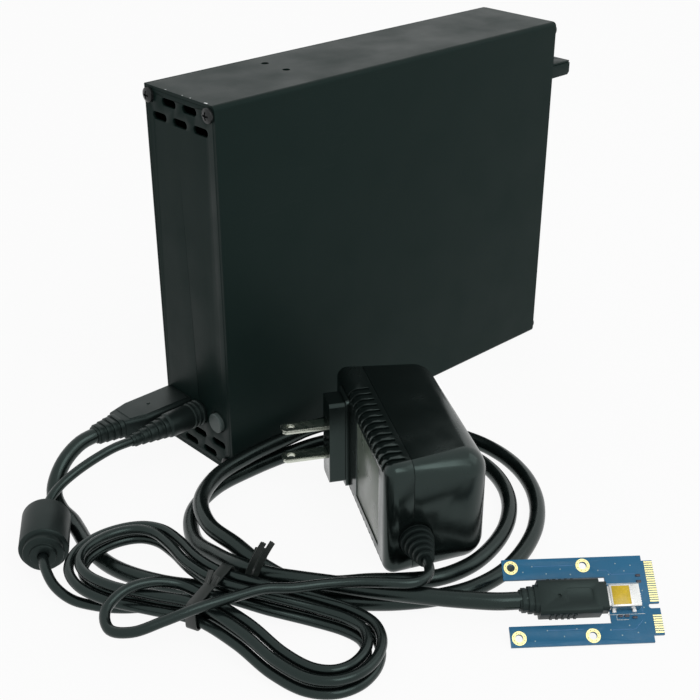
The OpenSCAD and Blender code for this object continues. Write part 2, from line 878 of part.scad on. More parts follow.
module mini_plug() {
    color([0.09, 0.09, 0.10])
        on_card()
            translate([mini_start + mini_relief_l, socket_y, mini_z])
                difference() {
                    union() {
                        ribbed_relief(
                            mini_relief_l, mini_relief_n,
                            mini_w * 0.86, mini_h, thick_d * 1.25, thick_d * 1.1
                        );
                        rotate([90, 0, 90])
                            linear_extrude(mini_body_l)
                                round_rect(mini_w, mini_h, mini_r);
                        translate([mini_body_l, 0, 0])
                            rotate([90, 0, 90])
                                linear_extrude(mini_neck_l)
                                    round_rect(mini_w * 0.84, mini_h * 0.8, mini_r);
                    }
                    translate([mini_body_l * 0.33, 0, mini_h / 2])
                        cylinder(h = mini_r, r = mini_r / 2, center = true);
                    translate([mini_body_l * 0.66, 0, mini_h / 2 - mini_r / 8])
                        linear_extrude(mini_r)
                            round_rect(mini_body_l * 0.44, mini_w * 0.42, mini_r);
                }
}

module mini_plug_nose() {
    color([0.76, 0.76, 0.78])
        on_card()
            translate([mini_end, socket_y, mini_z])
                rotate([90, 0, 90])
                    linear_extrude(nose_in)
                        difference() {
                            square([nose_w, nose_h], center = true);
                            square([nose_w - 2 * nose_t, nose_h - 2 * nose_t], center = true);
                        }
}

// Card outline
near_arm_w = 6.9;
far_arm_w = 7.2;
edge_tab_l = 3.6;
edge_low = 2.4;
edge_high = 1.9;
key_y = 12.3;
key_w = 1.7;
hole_in = 2.9;
hole_far_x = 27.3;
ring_d = 4.8;
foil = 0.06;
finger_pitch = 0.8;
finger_w = 0.5;
finger_l = 2.9;
far_fingers = 18;
near_fingers = 8;

function card_holes() = [for (x = [hole_in, hole_far_x], y = [hole_in, card_w - hole_in]) [x, y]];

module card_board() {
    color([0.08, 0.28, 0.60])
        on_card()
            difference() {
                linear_extrude(card_t)
                    difference() {
                        union() {
                            square([card_l, card_w]);
                            translate([card_l - over, edge_low])
                                square([edge_tab_l + over, card_w - edge_low - edge_high]);
                        }
                        translate([-over, near_arm_w])
                            square([arm_l + over, card_w - near_arm_w - far_arm_w]);
                        translate([card_l + key_w / 2, key_y - key_w / 2])
                            square([edge_tab_l, key_w]);
                        translate([card_l + key_w / 2, key_y])
                            circle(key_w / 2);
                    }
                for (place = card_holes())
                    translate([place[0], place[1], -over])
                        cylinder(h = card_t + 2 * over, r = card_hole_d / 2);
            }
}

module hole_rings() {
    color([0.86, 0.72, 0.36])
        on_card()
            for (place = card_holes())
                translate([place[0], place[1], card_t])
                    difference() {
                        cylinder(h = foil, r = ring_d / 2);
                        translate([0, 0, -over])
                            cylinder(h = foil + 2 * over, r = card_hole_d / 2 + foil);
                    }
}

module edge_contacts() {
    far_y = card_w - edge_high - finger_pitch;
    near_y = edge_low + finger_pitch / 2 + finger_w / 2;
    color([0.86, 0.72, 0.36])
        on_card()
            for (z = [-foil, card_t]) {
                for (i = [0:far_fingers - 1])
                    translate([card_l + edge_tab_l - finger_l, far_y - i * finger_pitch, z])
                        cube([finger_l - foil, finger_w, foil]);
                for (i = [0:near_fingers - 1])
                    translate([card_l + edge_tab_l - finger_l, near_y + i * finger_pitch, z])
                        cube([finger_l - foil, finger_w, foil]);
            }
}

module card_socket() {
    color([0.78, 0.78, 0.80])
        on_card()
            translate([arm_l + flat_gap, socket_y, mini_z])
                difference() {
                    rotate([90, 0, 90])
                        linear_extrude(socket_len)
                            round_rect(socket_w, socket_h, socket_wall);
                    translate([-over, 0, 0])
                        rotate([90, 0, 90])
                            linear_extrude(socket_len - socket_wall)
                                square(
                                    [socket_w - 2 * socket_wall, socket_h - 2 * socket_wall],
                                    center = true
                                );
                }
}

module card_socket_core() {
    back_l = socket_len - nose_in - 4 * socket_wall;
    color([0.10, 0.10, 0.10])
        on_card()
            translate([arm_l + flat_gap + nose_in + 3 * socket_wall - over, socket_y, mini_z]) {
                translate([0, -socket_w / 2 + socket_wall, -socket_h / 2 + socket_wall])
                    cube([back_l, socket_w - 2 * socket_wall, socket_h - 2 * socket_wall]);
                translate([-nose_in + 2 * socket_wall, -nose_w / 2 + nose_t + round_gap, -nose_h / 6])
                    cube([nose_in, nose_w - 2 * (nose_t + round_gap), nose_h / 3]);
            }
}

tape_w = 6.4;
tape_l = 6;
module pick_up_tape() {
    color([0.90, 0.70, 0.08])
        on_card()
            translate([arm_l + flat_gap + 2 * socket_wall, socket_y - tape_w / 2, card_t + socket_h])
                cube([tape_l, tape_w, foil]);
}

// Small chip parts beside the socket: places as shares of the card's length and width
small_part_w = 0.8;
small_part_shares = [[0.77, 0.29], [0.816, 0.29], [0.87, 0.27], [0.94, 0.68], [0.94, 0.75]];
module card_parts() {
    color([0.16, 0.15, 0.15])
        on_card()
            for (share = small_part_shares)
                translate([share[0] * card_l, share[1] * card_w, card_t])
                    cube([2 * small_part_w, small_part_w, small_part_w / 2]);
}

// DC plug along -X from the front panel
dc_body_l = 17;
dc_relief_l = 16;
dc_ring_n = 3;
dc_ring_w = 0.5;
dc_taper_n = 5;
module dc_plug() {
    color([0.08, 0.08, 0.09])
        translate([front_x, dc_y, front_hole_z])
            rotate([0, -90, 0]) {
                rotate_extrude()
                    polygon(concat(
                        [[0, 0], [dc_plug_d / 2 - dc_ring_w, 0]],
                        [
                            for (i = [0:dc_ring_n - 1])
                                each [
                                    [dc_plug_d / 2 - dc_ring_w, (4 * i + 1) * dc_ring_w],
                                    [dc_plug_d / 2, (4 * i + 1.5) * dc_ring_w],
                                    [dc_plug_d / 2, (4 * i + 3) * dc_ring_w],
                                    [dc_plug_d / 2 - dc_ring_w, (4 * i + 3.5) * dc_ring_w]
                                ]
                        ],
                        [
                            [dc_plug_d / 2 - dc_ring_w / 2, (4 * dc_ring_n + 1) * dc_ring_w],
                            [dc_plug_d / 2 - dc_ring_w / 2, dc_body_l - dc_ring_w * 2],
                            [dc_plug_d / 2 - dc_ring_w * 2, dc_body_l],
                            [0, dc_body_l]
                        ]
                    ));
                translate([0, 0, dc_body_l])
                    rotate_extrude()
                        polygon(concat(
                            [[0, 0]],
                            [
                                for (i = [0:dc_taper_n - 1])
                                    let (
                                        step = dc_relief_l / dc_taper_n,
                                        wide = dc_plug_d * 0.42,
                                        r = wide - (wide - thin_d * 0.75) * i / (dc_taper_n - 1)
                                    )
                                    each [
                                        [r, step * i],
                                        [r, step * (i + 0.6)],
                                        [r * 0.82, step * (i + 0.68)],
                                        [r * 0.82, step * (i + 0.92)]
                                    ]
                            ],
                            [[thin_d * 0.6, dc_relief_l], [0, dc_relief_l]]
                        ));
            }
}

module dc_plug_barrel() {
    color([0.76, 0.76, 0.78])
        translate([front_x, dc_y, front_hole_z])
            rotate([0, 90, 0])
                difference() {
                    cylinder(h = barrel_in, r = barrel_r);
                    translate([0, 0, over])
                        cylinder(h = barrel_in, r = barrel_bore_r);
                }
}

// The ferrite lies on the floor; its near end is at the first place, its axis turned
ferrite_x = -181.5;
ferrite_y = -27.1;
ferrite_turn = 56.4;
ferrite_neck = 1.6;
ferrite_boss_l = 2.4;
ferrite_core_share = 0.8;
ferrite_way = [cos(ferrite_turn), sin(ferrite_turn), 0];
ferrite_near = [ferrite_x, ferrite_y, ferrite_d / 2];
ferrite_far = ferrite_near + ferrite_l * ferrite_way;
module on_ferrite() {
    translate(ferrite_near)
        rotate([0, 0, ferrite_turn])
            rotate([0, 90, 0])
                children();
}
module ferrite_cover() {
    r = ferrite_d / 2;
    color([0.08, 0.08, 0.09])
        on_ferrite()
            rotate_extrude()
                polygon([
                    [thin_d / 2 + flat_gap, 0],
                    [r * 0.52, 0],
                    [r * 0.55, ferrite_neck * 0.8],
                    [r - ferrite_neck * 1.6, ferrite_neck * 0.8],
                    [r - ferrite_neck, ferrite_neck],
                    [r - ferrite_neck, ferrite_boss_l * 1.6],
                    [r - ferrite_neck / 2, ferrite_boss_l * 1.6],
                    [r, ferrite_boss_l * 1.8],
                    [r, ferrite_l - ferrite_neck],
                    [r - ferrite_neck, ferrite_l],
                    [thin_d / 2 + flat_gap, ferrite_l],
                    [thin_d / 2 + flat_gap, ferrite_l - ferrite_neck],
                    [r * ferrite_core_share, ferrite_l - 2 * ferrite_neck],
                    [r * ferrite_core_share, 2.5 * ferrite_neck],
                    [thin_d / 2 + flat_gap, 2 * ferrite_neck]
                ]);
}
module ferrite_core() {
    r = ferrite_d / 2 * ferrite_core_share - flat_gap;
    color([0.25, 0.25, 0.26])
        on_ferrite()
            translate([0, 0, 2.5 * ferrite_neck + flat_gap])
                difference() {
                    cylinder(h = ferrite_l - 4.5 * ferrite_neck - 2 * flat_gap, r = r);
                    translate([0, 0, -over])
                        cylinder(h = ferrite_l, r = thin_d / 2 + flat_gap);
                }
}

// The hank of thin cord: a dog bone of loops, drawn in at the waist, its left half on the thick cable
hank_x = -153;
hank_y = -86;
hank_turn = -67.7;
hank_n = 3.5;
hank_left = 55;
hank_right = 62;
hank_b = 36;
hank_waist_share = 0.31;
hank_pitch = 4.55;
hank_layer = 4.5;
hank_bow = 140;
hank_lift = 6.6;
hank_lift_run = 45;
function hank_base(a, r) =
    [r * cos(a), hank_b * sin(a) * sqrt(cos(a) * cos(a) + hank_waist_share * hank_waist_share)];
function hank_bent(p) =
    p[0] >= 0 ? p :
    let (f = p[0] / hank_bow * 180 / PI)
    [hank_bow * sin(f) - p[1] * sin(f), hank_bow * (1 - cos(f)) + p[1] * cos(f)];
function hank_world(x, y, z) = [
    hank_x + x * cos(hank_turn) - y * sin(hank_turn),
    hank_y + x * sin(hank_turn) + y * cos(hank_turn),
    z
];
function hank_point(t) =
    let (
        a = 90 - 360 * t,
        r = cos(a) > 0 ? hank_right : hank_left,
        along = unit(hank_base(a + 0.1, r) - hank_base(a - 0.1, r)),
        inward = hank_pitch * (hank_n / 2 - min(t, hank_n - t)),
        flat = hank_bent(hank_base(a, r) + inward * [-along[1], along[0]]),
        layer = min(1, max(0, (t - hank_n / 2 + 0.25) / 0.5))
    )
    hank_world(flat[0], flat[1],
        thin_d / 2 + hank_layer * layer + hank_lift * smooth((hank_lift_run - flat[0]) / hank_lift_run));
hank_steps = round(hank_n * steps);
hank_loop = [for (i = [0:hank_steps]) hank_point(hank_n * i / hank_steps)];
hank_in = unit(hank_loop[1] - hank_loop[0]);
hank_out = unit(hank_loop[hank_steps] - hank_loop[hank_steps - 1]);
hank_path = concat(
    [hank_loop[0] - thin_d * hank_in],
    hank_loop,
    [hank_loop[hank_steps] + thin_d * hank_out]
);

// Routes of the thin cord: housing to ferrite, ferrite to hank, hank to adapter
power_lead_route = [
    [-126, -0.8, 20.5], [-133, 0, 20.2], [-141, 1.5, 18], [-149, 2.5, 15.2],
    [-156.5, 2, 12.6], [-163, -0.5, 10]
];
power_run_route = [
    [-184, -33, 8], [-185, -40, 5.4], [-183, -47, 2.8], [-178.5, -54, 1.8],
    [-173, -61, 1.8], [-167, -67, 2.6], [-160.5, -73, 5], [-155.5, -79, 7.6]
];
power_lead_path = concat(power_lead_route, [ferrite_far + thin_d / 2 * ferrite_way, ferrite_near]);
power_run_path = concat([ferrite_near], power_run_route, [hank_path[0]]);

module power_lead() {
    color([0.07, 0.07, 0.08])
        tube(power_lead_path, thin_d / 2, 8, [-1, 0, 0], -ferrite_way);
}

module power_run() {
    color([0.07, 0.07, 0.08])
        tube(power_run_path, thin_d / 2, 8, -ferrite_way, hank_in);
}

module power_hank() {
    echo(hank_least_gap = least_gap(hank_path, thin_d, 5), hank_length = path_length(hank_path));
    color([0.07, 0.07, 0.08])
        tube(hank_path, thin_d / 2, 6, hank_in, hank_out);
}

// Where the adapter stands; along it, +Y is its cord end and +X its blades
adapter_x = -59.3;
adapter_y = -84.8;
adapter_turn = 150.6;
seam_x = 9;
relief_x = 8;
relief_z = 15;
relief_l = 12;
relief_d = 12;
relief_n = 5;
function adapter_point(x, y, z) = [
    adapter_x + x * cos(adapter_turn) - y * sin(adapter_turn),
    adapter_y + x * sin(adapter_turn) + y * cos(adapter_turn),
    z
];
adapter_way = [-sin(adapter_turn), cos(adapter_turn), 0];
relief_end = adapter_point(relief_x, adapter_l / 2 + relief_l, relief_z);
power_tail_route = [
    [-92.5, -127.4, 14.9], [-94.8, -130, 14.9], [-98, -131.4, 15], [-101.4, -131.3, 15.1],
    [-104.5, -129.7, 15.2], [-110, -124.5, 15.4], [-116.5, -118, 15.4], [-125, -111.5, 15.4],
    [-134.5, -106, 15.8]
];
power_fold_route = [
    [18, 4.5, 16.6], [10, -5.5, 17.2], [3, -14, 17], [-4.5, -21.5, 15], [-12, -28, 13],
    [-19.5, -29.5, 12.4], [-24.8, -24, 14], [-22.8, -15.5, 16.8], [-17, -8.4, 17], [-9.5, -3.4, 14.8]
];
power_tail_path = concat(
    [relief_end], power_tail_route,
    [for (p = power_fold_route) hank_world(p[0], p[1], p[2])],
    [hank_path[hank_steps + 2]]
);

module power_tail() {
    color([0.07, 0.07, 0.08])
        tube(power_tail_path, thin_d / 2, 8, adapter_way, -hank_out);
}

hank_tie_w = 4;
hank_tie_t = 0.6;
hank_tie_in = 12.5;
hank_tie_room = 0.9;
module hank_tie() {
    base_z = hank_lift + thin_d / 2 + hank_layer / 2;
    tie_h = hank_layer + thin_d + hank_tie_room;
    color([0.06, 0.06, 0.06])
        translate([hank_x, hank_y, base_z])
            rotate([0, 0, hank_turn])
                rotate([90, 0, 90])
                    translate([0, 0, -hank_tie_w / 2])
                        linear_extrude(hank_tie_w)
                            difference() {
                                round_rect(
                                    2 * (hank_tie_in + hank_tie_t), tie_h + 2 * hank_tie_t, 4 * hank_tie_t
                                );
                                round_rect(2 * hank_tie_in, tie_h, 3 * hank_tie_t);
                            }
}

module on_adapter() {
    translate([adapter_x, adapter_y, 0])
        rotate([0, 0, adapter_turn])
            children();
}

// A block with round edges from x0 to x1; r0 rounds the edges at x0, r1 those at x1
module soft_block(x0, x1, l, h, r0, r1, inset) {
    hull() {
        for (sy = [-1, 1], z = [inset + r0, h - inset - r0])
            translate([x0 + inset + r0, sy * (l / 2 - inset - r0), z])
                sphere(r0, $fn = hull_fn);
        for (sy = [-1, 1], z = [inset + r1, h - inset - r1])
            translate([x1 - inset - r1, sy * (l / 2 - inset - r1), z])
                sphere(r1, $fn = hull_fn);
    }
}

module adapter_form(inset) {
    soft_block(-adapter_t / 2, adapter_t / 2, adapter_l, adapter_h,
        adapter_back_r - inset * 0.6, adapter_front_r - inset * 0.6, inset);
}

// Vent slots over the edge between the top and the front face, and notches at the bottom edge
adapter_vents = 13;
vent_in = 20.5;
vent_start = vent_in - adapter_l / 2;
vent_step = 4.15;
vent_slot_w = 1.4;
vent_slot_l = 8;
vent_slot_t = 1.6;
label_in = 26.5;
label_y = adapter_l / 2 - label_in;
label_w = 32;
label_z = 23;
label_h = 33;
label_t = 0.8;
module adapter_vent_cuts() {
    for (i = [0:adapter_vents - 1])
        translate([adapter_t / 2 - vent_slot_l, vent_start + i * vent_step, 0]) {
            translate([0, 0, adapter_h - vent_slot_t])
                cube([vent_slot_l + over, vent_slot_w, vent_slot_t + over]);
            translate([vent_slot_l - vent_slot_t, 0, adapter_h - vent_slot_l / 2])
                cube([vent_slot_t + over, vent_slot_w, vent_slot_l]);
            translate([vent_slot_l - vent_slot_t, 0, -over])
                cube([vent_slot_t + over, vent_slot_w, vent_slot_l / 2 + over]);
        }
}

module relief_hole() {
    translate([relief_x, adapter_l / 2 + over, relief_z])
        rotate([90, 0, 0])
            cylinder(h = 2 * adapter_wall, r = relief_d / 2 + flat_gap);
}

module adapter_front() {
    color([0.07, 0.07, 0.08])
        on_adapter()
            difference() {
                intersection() {
                    adapter_form(0);
                    translate([seam_x + flat_gap, -adapter_l, -over])
                        cube([adapter_t, 2 * adapter_l, adapter_h + 2 * over]);
                }
                adapter_form(adapter_wall);
                adapter_vent_cuts();
                relief_hole();
                translate([adapter_t / 2 - label_t, label_y - label_w / 2, label_z - label_h / 2])
                    cube([label_t + over, label_w, label_h]);
            }
}

module adapter_back() {
    color([0.07, 0.07, 0.08])
        on_adapter()
            difference() {
                intersection() {
                    adapter_form(0);
                    translate([seam_x - 2 * adapter_t, -adapter_l, -over])
                        cube([2 * adapter_t, 2 * adapter_l, adapter_h + 2 * over]);
                }
                adapter_form(adapter_wall);
                relief_hole();
            }
}

block_in = 17.5;
block_y = block_in - adapter_l / 2;
block_w = 11;
block_h = 35;
block_z = 23;
block_step = 1.5;
module plug_block() {
    color([0.06, 0.06, 0.07])
        on_adapter()
            difference() {
                union() {
                    translate([adapter_t / 2, block_y, block_z])
                        rotate([90, 0, 90])
                            linear_extrude(block_proud)
                                round_rect(block_w, block_h, block_step);
                    translate([adapter_t / 2, block_y, block_z])
                        rotate([90, 0, 90])
                            linear_extrude(block_step)
                                round_rect(block_w + 2 * block_step, block_h + 2 * block_step, block_step);
                }
                for (s = [-1, 1])
                    translate([adapter_t / 2 + block_proud / 2, block_y, block_z + s * blade_gap / 2])
                        cube(
                            [block_proud + 2 * over, blade_w + 2 * screw_gap, blade_t + 2 * screw_gap],
                            center = true
                        );
            }
}

blade_hole_r = 1.6;
blade_hole_in = 3.4;
blade_tip = 1.2;
module prong_blades() {
    color([0.78, 0.78, 0.78])
        on_adapter()
            for (s = [-1, 1])
                translate([adapter_t / 2, block_y, block_z + s * blade_gap / 2 - blade_t / 2])
                    difference() {
                        linear_extrude(blade_t)
                            polygon([
                                [0, -blade_w / 2],
                                [block_proud + blade_l - blade_tip, -blade_w / 2],
                                [block_proud + blade_l, -blade_w / 2 + blade_tip],
                                [block_proud + blade_l, blade_w / 2 - blade_tip],
                                [block_proud + blade_l - blade_tip, blade_w / 2],
                                [0, blade_w / 2]
                            ]);
                        translate([block_proud + blade_l - blade_hole_in, 0, -over])
                            cylinder(h = blade_t + 2 * over, r = blade_hole_r);
                    }
}

module adapter_relief() {
    color([0.07, 0.07, 0.08])
        on_adapter()
            translate([relief_x, adapter_l / 2 - adapter_wall, relief_z])
                rotate([-90, 0, 0])
                    rotate_extrude()
                        polygon(concat(
                            [[0, 0], [relief_d / 2, 0], [relief_d / 2, adapter_wall]],
                            [
                                for (i = [0:relief_n - 1])
                                    let (
                                        step = relief_l / relief_n,
                                        wide = relief_d / 2,
                                        r = wide - (wide - thin_d * 0.85) * i / (relief_n - 1)
                                    )
                                    each [
                                        [r * 0.8, adapter_wall + step * (i + 0.04)],
                                        [r * 0.8, adapter_wall + step * (i + 0.3)],
                                        [r, adapter_wall + step * (i + 0.42)],
                                        [r, adapter_wall + step * (i + 0.96)]
                                    ]
                            ],
                            [[thin_d * 0.6, adapter_wall + relief_l], [0, adapter_wall + relief_l]]
                        ));
}

module label_plate() {
    color([0.30, 0.30, 0.31])
        on_adapter()
            translate([adapter_t / 2 - label_t * 0.75, label_y, label_z])
                cube([label_t / 2, label_w - 2 * flat_gap, label_h - 2 * flat_gap], center = true);
}

// Inside the adapter: a board across it with its parts on the back shell's side
adapter_board_x = 5;
adapter_board_t = 1.6;
inner_h = adapter_h - 2 * adapter_wall - 2 * round_gap;
inner_l = adapter_l - 2 * adapter_wall - 2 * round_gap;
core_l = 22;
core_w = 20;
core_h = 26;
bobbin_share = 0.7;
module adapter_board() {
    color([0.60, 0.52, 0.30])
        on_adapter()
            translate([adapter_board_x, -inner_l / 2 + adapter_front_r, adapter_wall + round_gap])
                cube([adapter_board_t, inner_l - 2 * adapter_front_r, inner_h]);
}

module transformer() {
    color([0.30, 0.28, 0.26])
        on_adapter()
            translate([adapter_board_x - core_w, -core_l / 2, adapter_h / 2 - core_h / 2])
                difference() {
                    cube([core_w, core_l, core_h]);
                    for (y = [-over, core_l * 0.78])
                        translate([core_w * 0.16, y, core_h * 0.2])
                            cube([core_w * 0.68, core_l * 0.22 + over, core_h * 0.6]);
                }
}

can_d = 12;
can_l = 20;
module capacitors() {
    color([0.12, 0.12, 0.30])
        on_adapter()
            for (z = [adapter_h * 0.3, adapter_h * 0.65])
                translate([adapter_board_x - can_d / 2, -core_l / 2 - over, z])
                    rotate([90, 0, 0])
                        cylinder(h = can_l * 0.8, r = can_d / 2 - flat_gap);
}

fins = 5;
fin_t = 1.2;
module heat_sink() {
    color([0.66, 0.67, 0.69])
        on_adapter()
            translate([adapter_board_x - core_w * 0.7, core_l / 2 + over, adapter_h / 2 - core_h / 2]) {
                translate([core_w * 0.7 - 2 * fin_t, 0, 0])
                    cube([2 * fin_t, can_l * 0.7, core_h]);
                for (i = [0:fins - 1])
                    translate([0, 0, i * (core_h - fin_t) / (fins - 1)])
                        cube([core_w * 0.7, can_l * 0.7, fin_t]);
            }
}

housing_cover();
cover_top();
housing_base();
corner_tabs();
front_panel();
rear_panel();
slot_cover_a();
slot_cover_b();
slot_cover_screws();
front_screws();
rear_screws();
rubber_feet();
main_board();
pci_slot_a();
pci_slot_b();
bridge_chip();
interface_socket();
dc_jack();
power_button();
button_switch();
board_standoffs();
board_screws();
board_parts();
interface_plug();
plug_shell();
interface_lead();
interface_coil();
interface_tail();
coil_tie();
mini_plug();
mini_plug_nose();
card_board();
card_socket();
card_socket_core();
pick_up_tape();
edge_contacts();
hole_rings();
card_parts();
dc_plug();
dc_plug_barrel();
power_lead();
ferrite_cover();
ferrite_core();
power_run();
power_hank();
hank_tie();
power_tail();
adapter_front();
adapter_back();
plug_block();
prong_blades();
adapter_relief();
label_plate();
adapter_board();
transformer();
capacitors();
heat_sink();
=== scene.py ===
"""Looks of an expansion card kit: a black steel housing, its cables, a small blue card and a wall adapter."""
import json
import math

import bmesh
import bpy
import numpy as np
from mathutils import Matrix, Vector


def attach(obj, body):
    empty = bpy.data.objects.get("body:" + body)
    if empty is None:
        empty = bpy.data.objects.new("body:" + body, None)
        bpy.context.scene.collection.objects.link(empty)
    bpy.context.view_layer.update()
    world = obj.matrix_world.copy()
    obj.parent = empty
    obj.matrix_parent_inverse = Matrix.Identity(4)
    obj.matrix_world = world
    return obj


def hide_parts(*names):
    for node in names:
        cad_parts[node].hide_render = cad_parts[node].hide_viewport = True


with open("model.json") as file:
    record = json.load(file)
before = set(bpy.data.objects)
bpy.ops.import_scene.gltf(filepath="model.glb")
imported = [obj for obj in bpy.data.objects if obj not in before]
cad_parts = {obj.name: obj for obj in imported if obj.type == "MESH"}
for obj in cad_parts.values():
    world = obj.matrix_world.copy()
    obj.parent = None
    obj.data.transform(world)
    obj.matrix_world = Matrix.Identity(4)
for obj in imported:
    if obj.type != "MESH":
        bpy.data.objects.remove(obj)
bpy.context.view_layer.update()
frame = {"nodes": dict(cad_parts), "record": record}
nodes = frame["nodes"]
MM = 0.001

# Camera: its place, in millimetres from the middle of the housing's underside, its direction in degrees, its lens
EYE = (-337.4, -351.2, 271.0)
LOOK_AZIMUTH = 47.0
LOOK_DOWN = 27.76
LENS_MM = 62.85

# The housing's width and height, and its front panel's outer face with the places of the two plugs
HOUSING_W, HOUSING_H = 42.0, 150.0
FRONT_X = -93.0
PLUG_Y, DC_Y, PLUG_Z = 12.5, -0.8, 20.5

# The cords' diameters, the steps along their centrelines, how far from the panel these start and leave the
# plugs, and how far they run on inside the adapter's relief and the small plug
THICK_D, THIN_D = 6.0, 3.6
THICK_STEP, THIN_STEP = 1.6, 1.2
THICK_START, THICK_OUT = 17, 30
THIN_START = 28
CORD_INSIDE = 6

# The card lies on its long edge and leans back; the adapter stands turned
CARD_ORIGIN = (-90.1, -162.8, 0.0)
CARD_TURN, CARD_LEAN = -39.8, 31.3
CARD_T = 1.0
CARD_HOLES = ((2.9, 2.9), (27.3, 2.9), (2.9, 27.1), (27.3, 27.1))
ADAPTER_ORIGIN = (-59.3, -84.8, 0.0)
ADAPTER_TURN = 150.6
RELIEF_END = (8.0, 50.5, 15.0)

# The small plug's cord end, on the card's middle line like its socket, and the relief's straight length
MINI_X, MINI_Y, MINI_Z = 3.9, 15, 2.95
MINI_RELIEF = 7.2

# The coil of the thick cable: its first and last turn, its middle and reach along x and y, how far it spirals in,
# how much one of its two corners towards -X bulges and the other draws in, and how high it rides over itself
COIL_TURNS = (-0.2, 1.5)
COIL_MIDDLE = (-71, -80)
COIL_REACH = (64.2, 57.5)
COIL_INWARD = 10.5
COIL_BULGE, COIL_DRAW = 0.18, 0.16
COIL_OVER_FIRST, COIL_OVER_LAST = 6.5, 7

# The hank of the thin cord: its place and loops, its reach to both ends, its half width with the share that is
# left at the waist, the distance of its strands, the radius of its bow, the height of its second layer and of its
# rise over the thick cable, and where that rise starts
HANK_ORIGIN = (-153, -86, 0)
HANK_TURN = -67.7
HANK_LOOPS = 3.5
HANK_REACH = (62, 55)
HANK_HALF_W, HANK_WAIST = 36, 0.31
HANK_PITCH = 4.55
HANK_BOW = 140
HANK_LAYER = 4.5
HANK_RISE, HANK_RISE_FROM = 6.6, 45
POINTS_PER_TURN = 24

# The other stretches of the cords, each a list of points that a smooth line goes through
LEAD_ROUTE = [
    (-134, 12.5, 20.5), (-140, 13, 19.4), (-147, 12.5, 15.8), (-153, 10, 11.5), (-157.5, 5.5, 7.6),
    (-159, -1, 4.6), (-158.8, -8, 3.2), (-160.3, -15, 3), (-162.3, -23, 3), (-163.5, -32, 3),
    (-163, -42, 3), (-160, -52, 3), (-155, -62, 3), (-148.5, -71, 3), (-141.5, -79, 3.1),
    (-134, -86.5, 3.6), (-128.3, -96.5, 3.4), (-120.5, -106.5, 3), (-112, -115.5, 3),
    (-102.5, -124, 3), (-91.5, -131.2, 3), (-80, -136, 3), (-66, -137.5, 3),
]
TAIL_ROUTE = [
    (-131.5, -89.5, 10.2), (-125.5, -98.5, 10.1), (-118.5, -108, 9.9), (-112, -117.5, 9.8),
    (-105.5, -126.5, 9.8), (-99, -135.5, 10), (-92, -144.5, 10.2),
]
POWER_LEAD_ROUTE = [
    (-126, -0.8, 20.5), (-133, 0, 20.2), (-141, 1.5, 18), (-149, 2.5, 15.2), (-156.5, 2, 12.6), (-163, -0.5, 10),
]
POWER_RUN_ROUTE = [
    (-184, -33, 8), (-185, -40, 5.4), (-183, -47, 2.8), (-178.5, -54, 1.8), (-173, -61, 1.8),
    (-167, -67, 2.6), (-160.5, -73, 5), (-155.5, -79, 7.6),
]
POWER_TAIL_ROUTE = [
    (-92.5, -127.4, 14.9), (-94.8, -130, 14.9), (-98, -131.4, 15), (-101.4, -131.3, 15.1),
    (-104.5, -129.7, 15.2), (-110, -124.5, 15.4), (-116.5, -118, 15.4), (-125, -111.5, 15.4),
    (-134.5, -106, 15.8),
]
POWER_FOLD_ROUTE = [
    (18, 4.5, 16.6), (10, -5.5, 17.2), (3, -14, 17), (-4.5, -21.5, 15), (-12, -28, 13),
    (-19.5, -29.5, 12.4), (-24.8, -24, 14), (-22.8, -15.5, 16.8), (-17, -8.4, 17), (-9.5, -3.4, 14.8),
]
FERRITE_NEAR = (-181.5, -27.1, 8.75)
FERRITE_TURN, FERRITE_L = 56.4, 24.7


def frame_at(origin, turn, lean=0.0):
    """The place of a turned and leaning piece, in metres."""
    spin = Matrix.Rotation(math.radians(turn), 4, "Z") @ Matrix.Rotation(math.radians(lean), 4, "X")
    return Matrix.Translation(Vector(origin) * MM) @ spin


CARD = frame_at(CARD_ORIGIN, CARD_TURN, CARD_LEAN)
ADAPTER = frame_at(ADAPTER_ORIGIN, ADAPTER_TURN)


def place(matrix, x, y, z):
    """A point given in a piece's own millimetres, as millimetres of the whole."""
    return np.array(matrix @ (Vector((x, y, z)) * MM)) / MM


def make_camera():
    """The camera of the photograph."""
    azimuth, down = math.radians(LOOK_AZIMUTH), math.radians(LOOK_DOWN)
    look = Vector((math.cos(azimuth) * math.cos(down), math.sin(azimuth) * math.cos(down), -math.sin(down)))
    data = bpy.data.cameras.new("camera")
    data.sensor_width = 36
    data.lens = LENS_MM
    data.clip_start, data.clip_end = 0.01, 20
    camera = bpy.data.objects.new("camera", data)
    camera.location = Vector(EYE) * MM
    camera.rotation_euler = look.to_track_quat("-Z", "Y").to_euler()
    bpy.context.scene.collection.objects.link(camera)
    bpy.context.scene.camera = camera


# Routes of the cords
def smooth_step(value):
    """0 to 1 as value goes from 0 to 1, flat at both ends."""
    value = min(1.0, max(0.0, value))
    return value * value * (3 - 2 * value)


def coil_point(t):
    """The thick cable's coil at t turns: it spirals in and out and rides over itself beside the housing."""
    turn = 2 * math.pi * t
    inward = COIL_INWARD * max(0.0, min(1.0, t / 0.7, (COIL_TURNS[1] - t) / 0.5))
    bulge = math.sin(2 * turn) ** 2
    corner = 1.0
    if math.cos(turn) <= 0:
        corner = 1 + COIL_BULGE * bulge if math.sin(turn) > 0 else 1 - COIL_DRAW * bulge
    over_first = COIL_OVER_FIRST * smooth_step((t - 0.03) / 0.1) * smooth_step((0.57 - t) / 0.11)
    over_last = COIL_OVER_LAST * smooth_step((t - 1.42) / 0.08)
    return (COIL_MIDDLE[0] + (COIL_REACH[0] - inward) * math.cos(turn) * corner,
            COIL_MIDDLE[1] + (COIL_REACH[1] - inward) * math.sin(turn) * corner,
            THICK_D / 2 + (over_first + over_last))


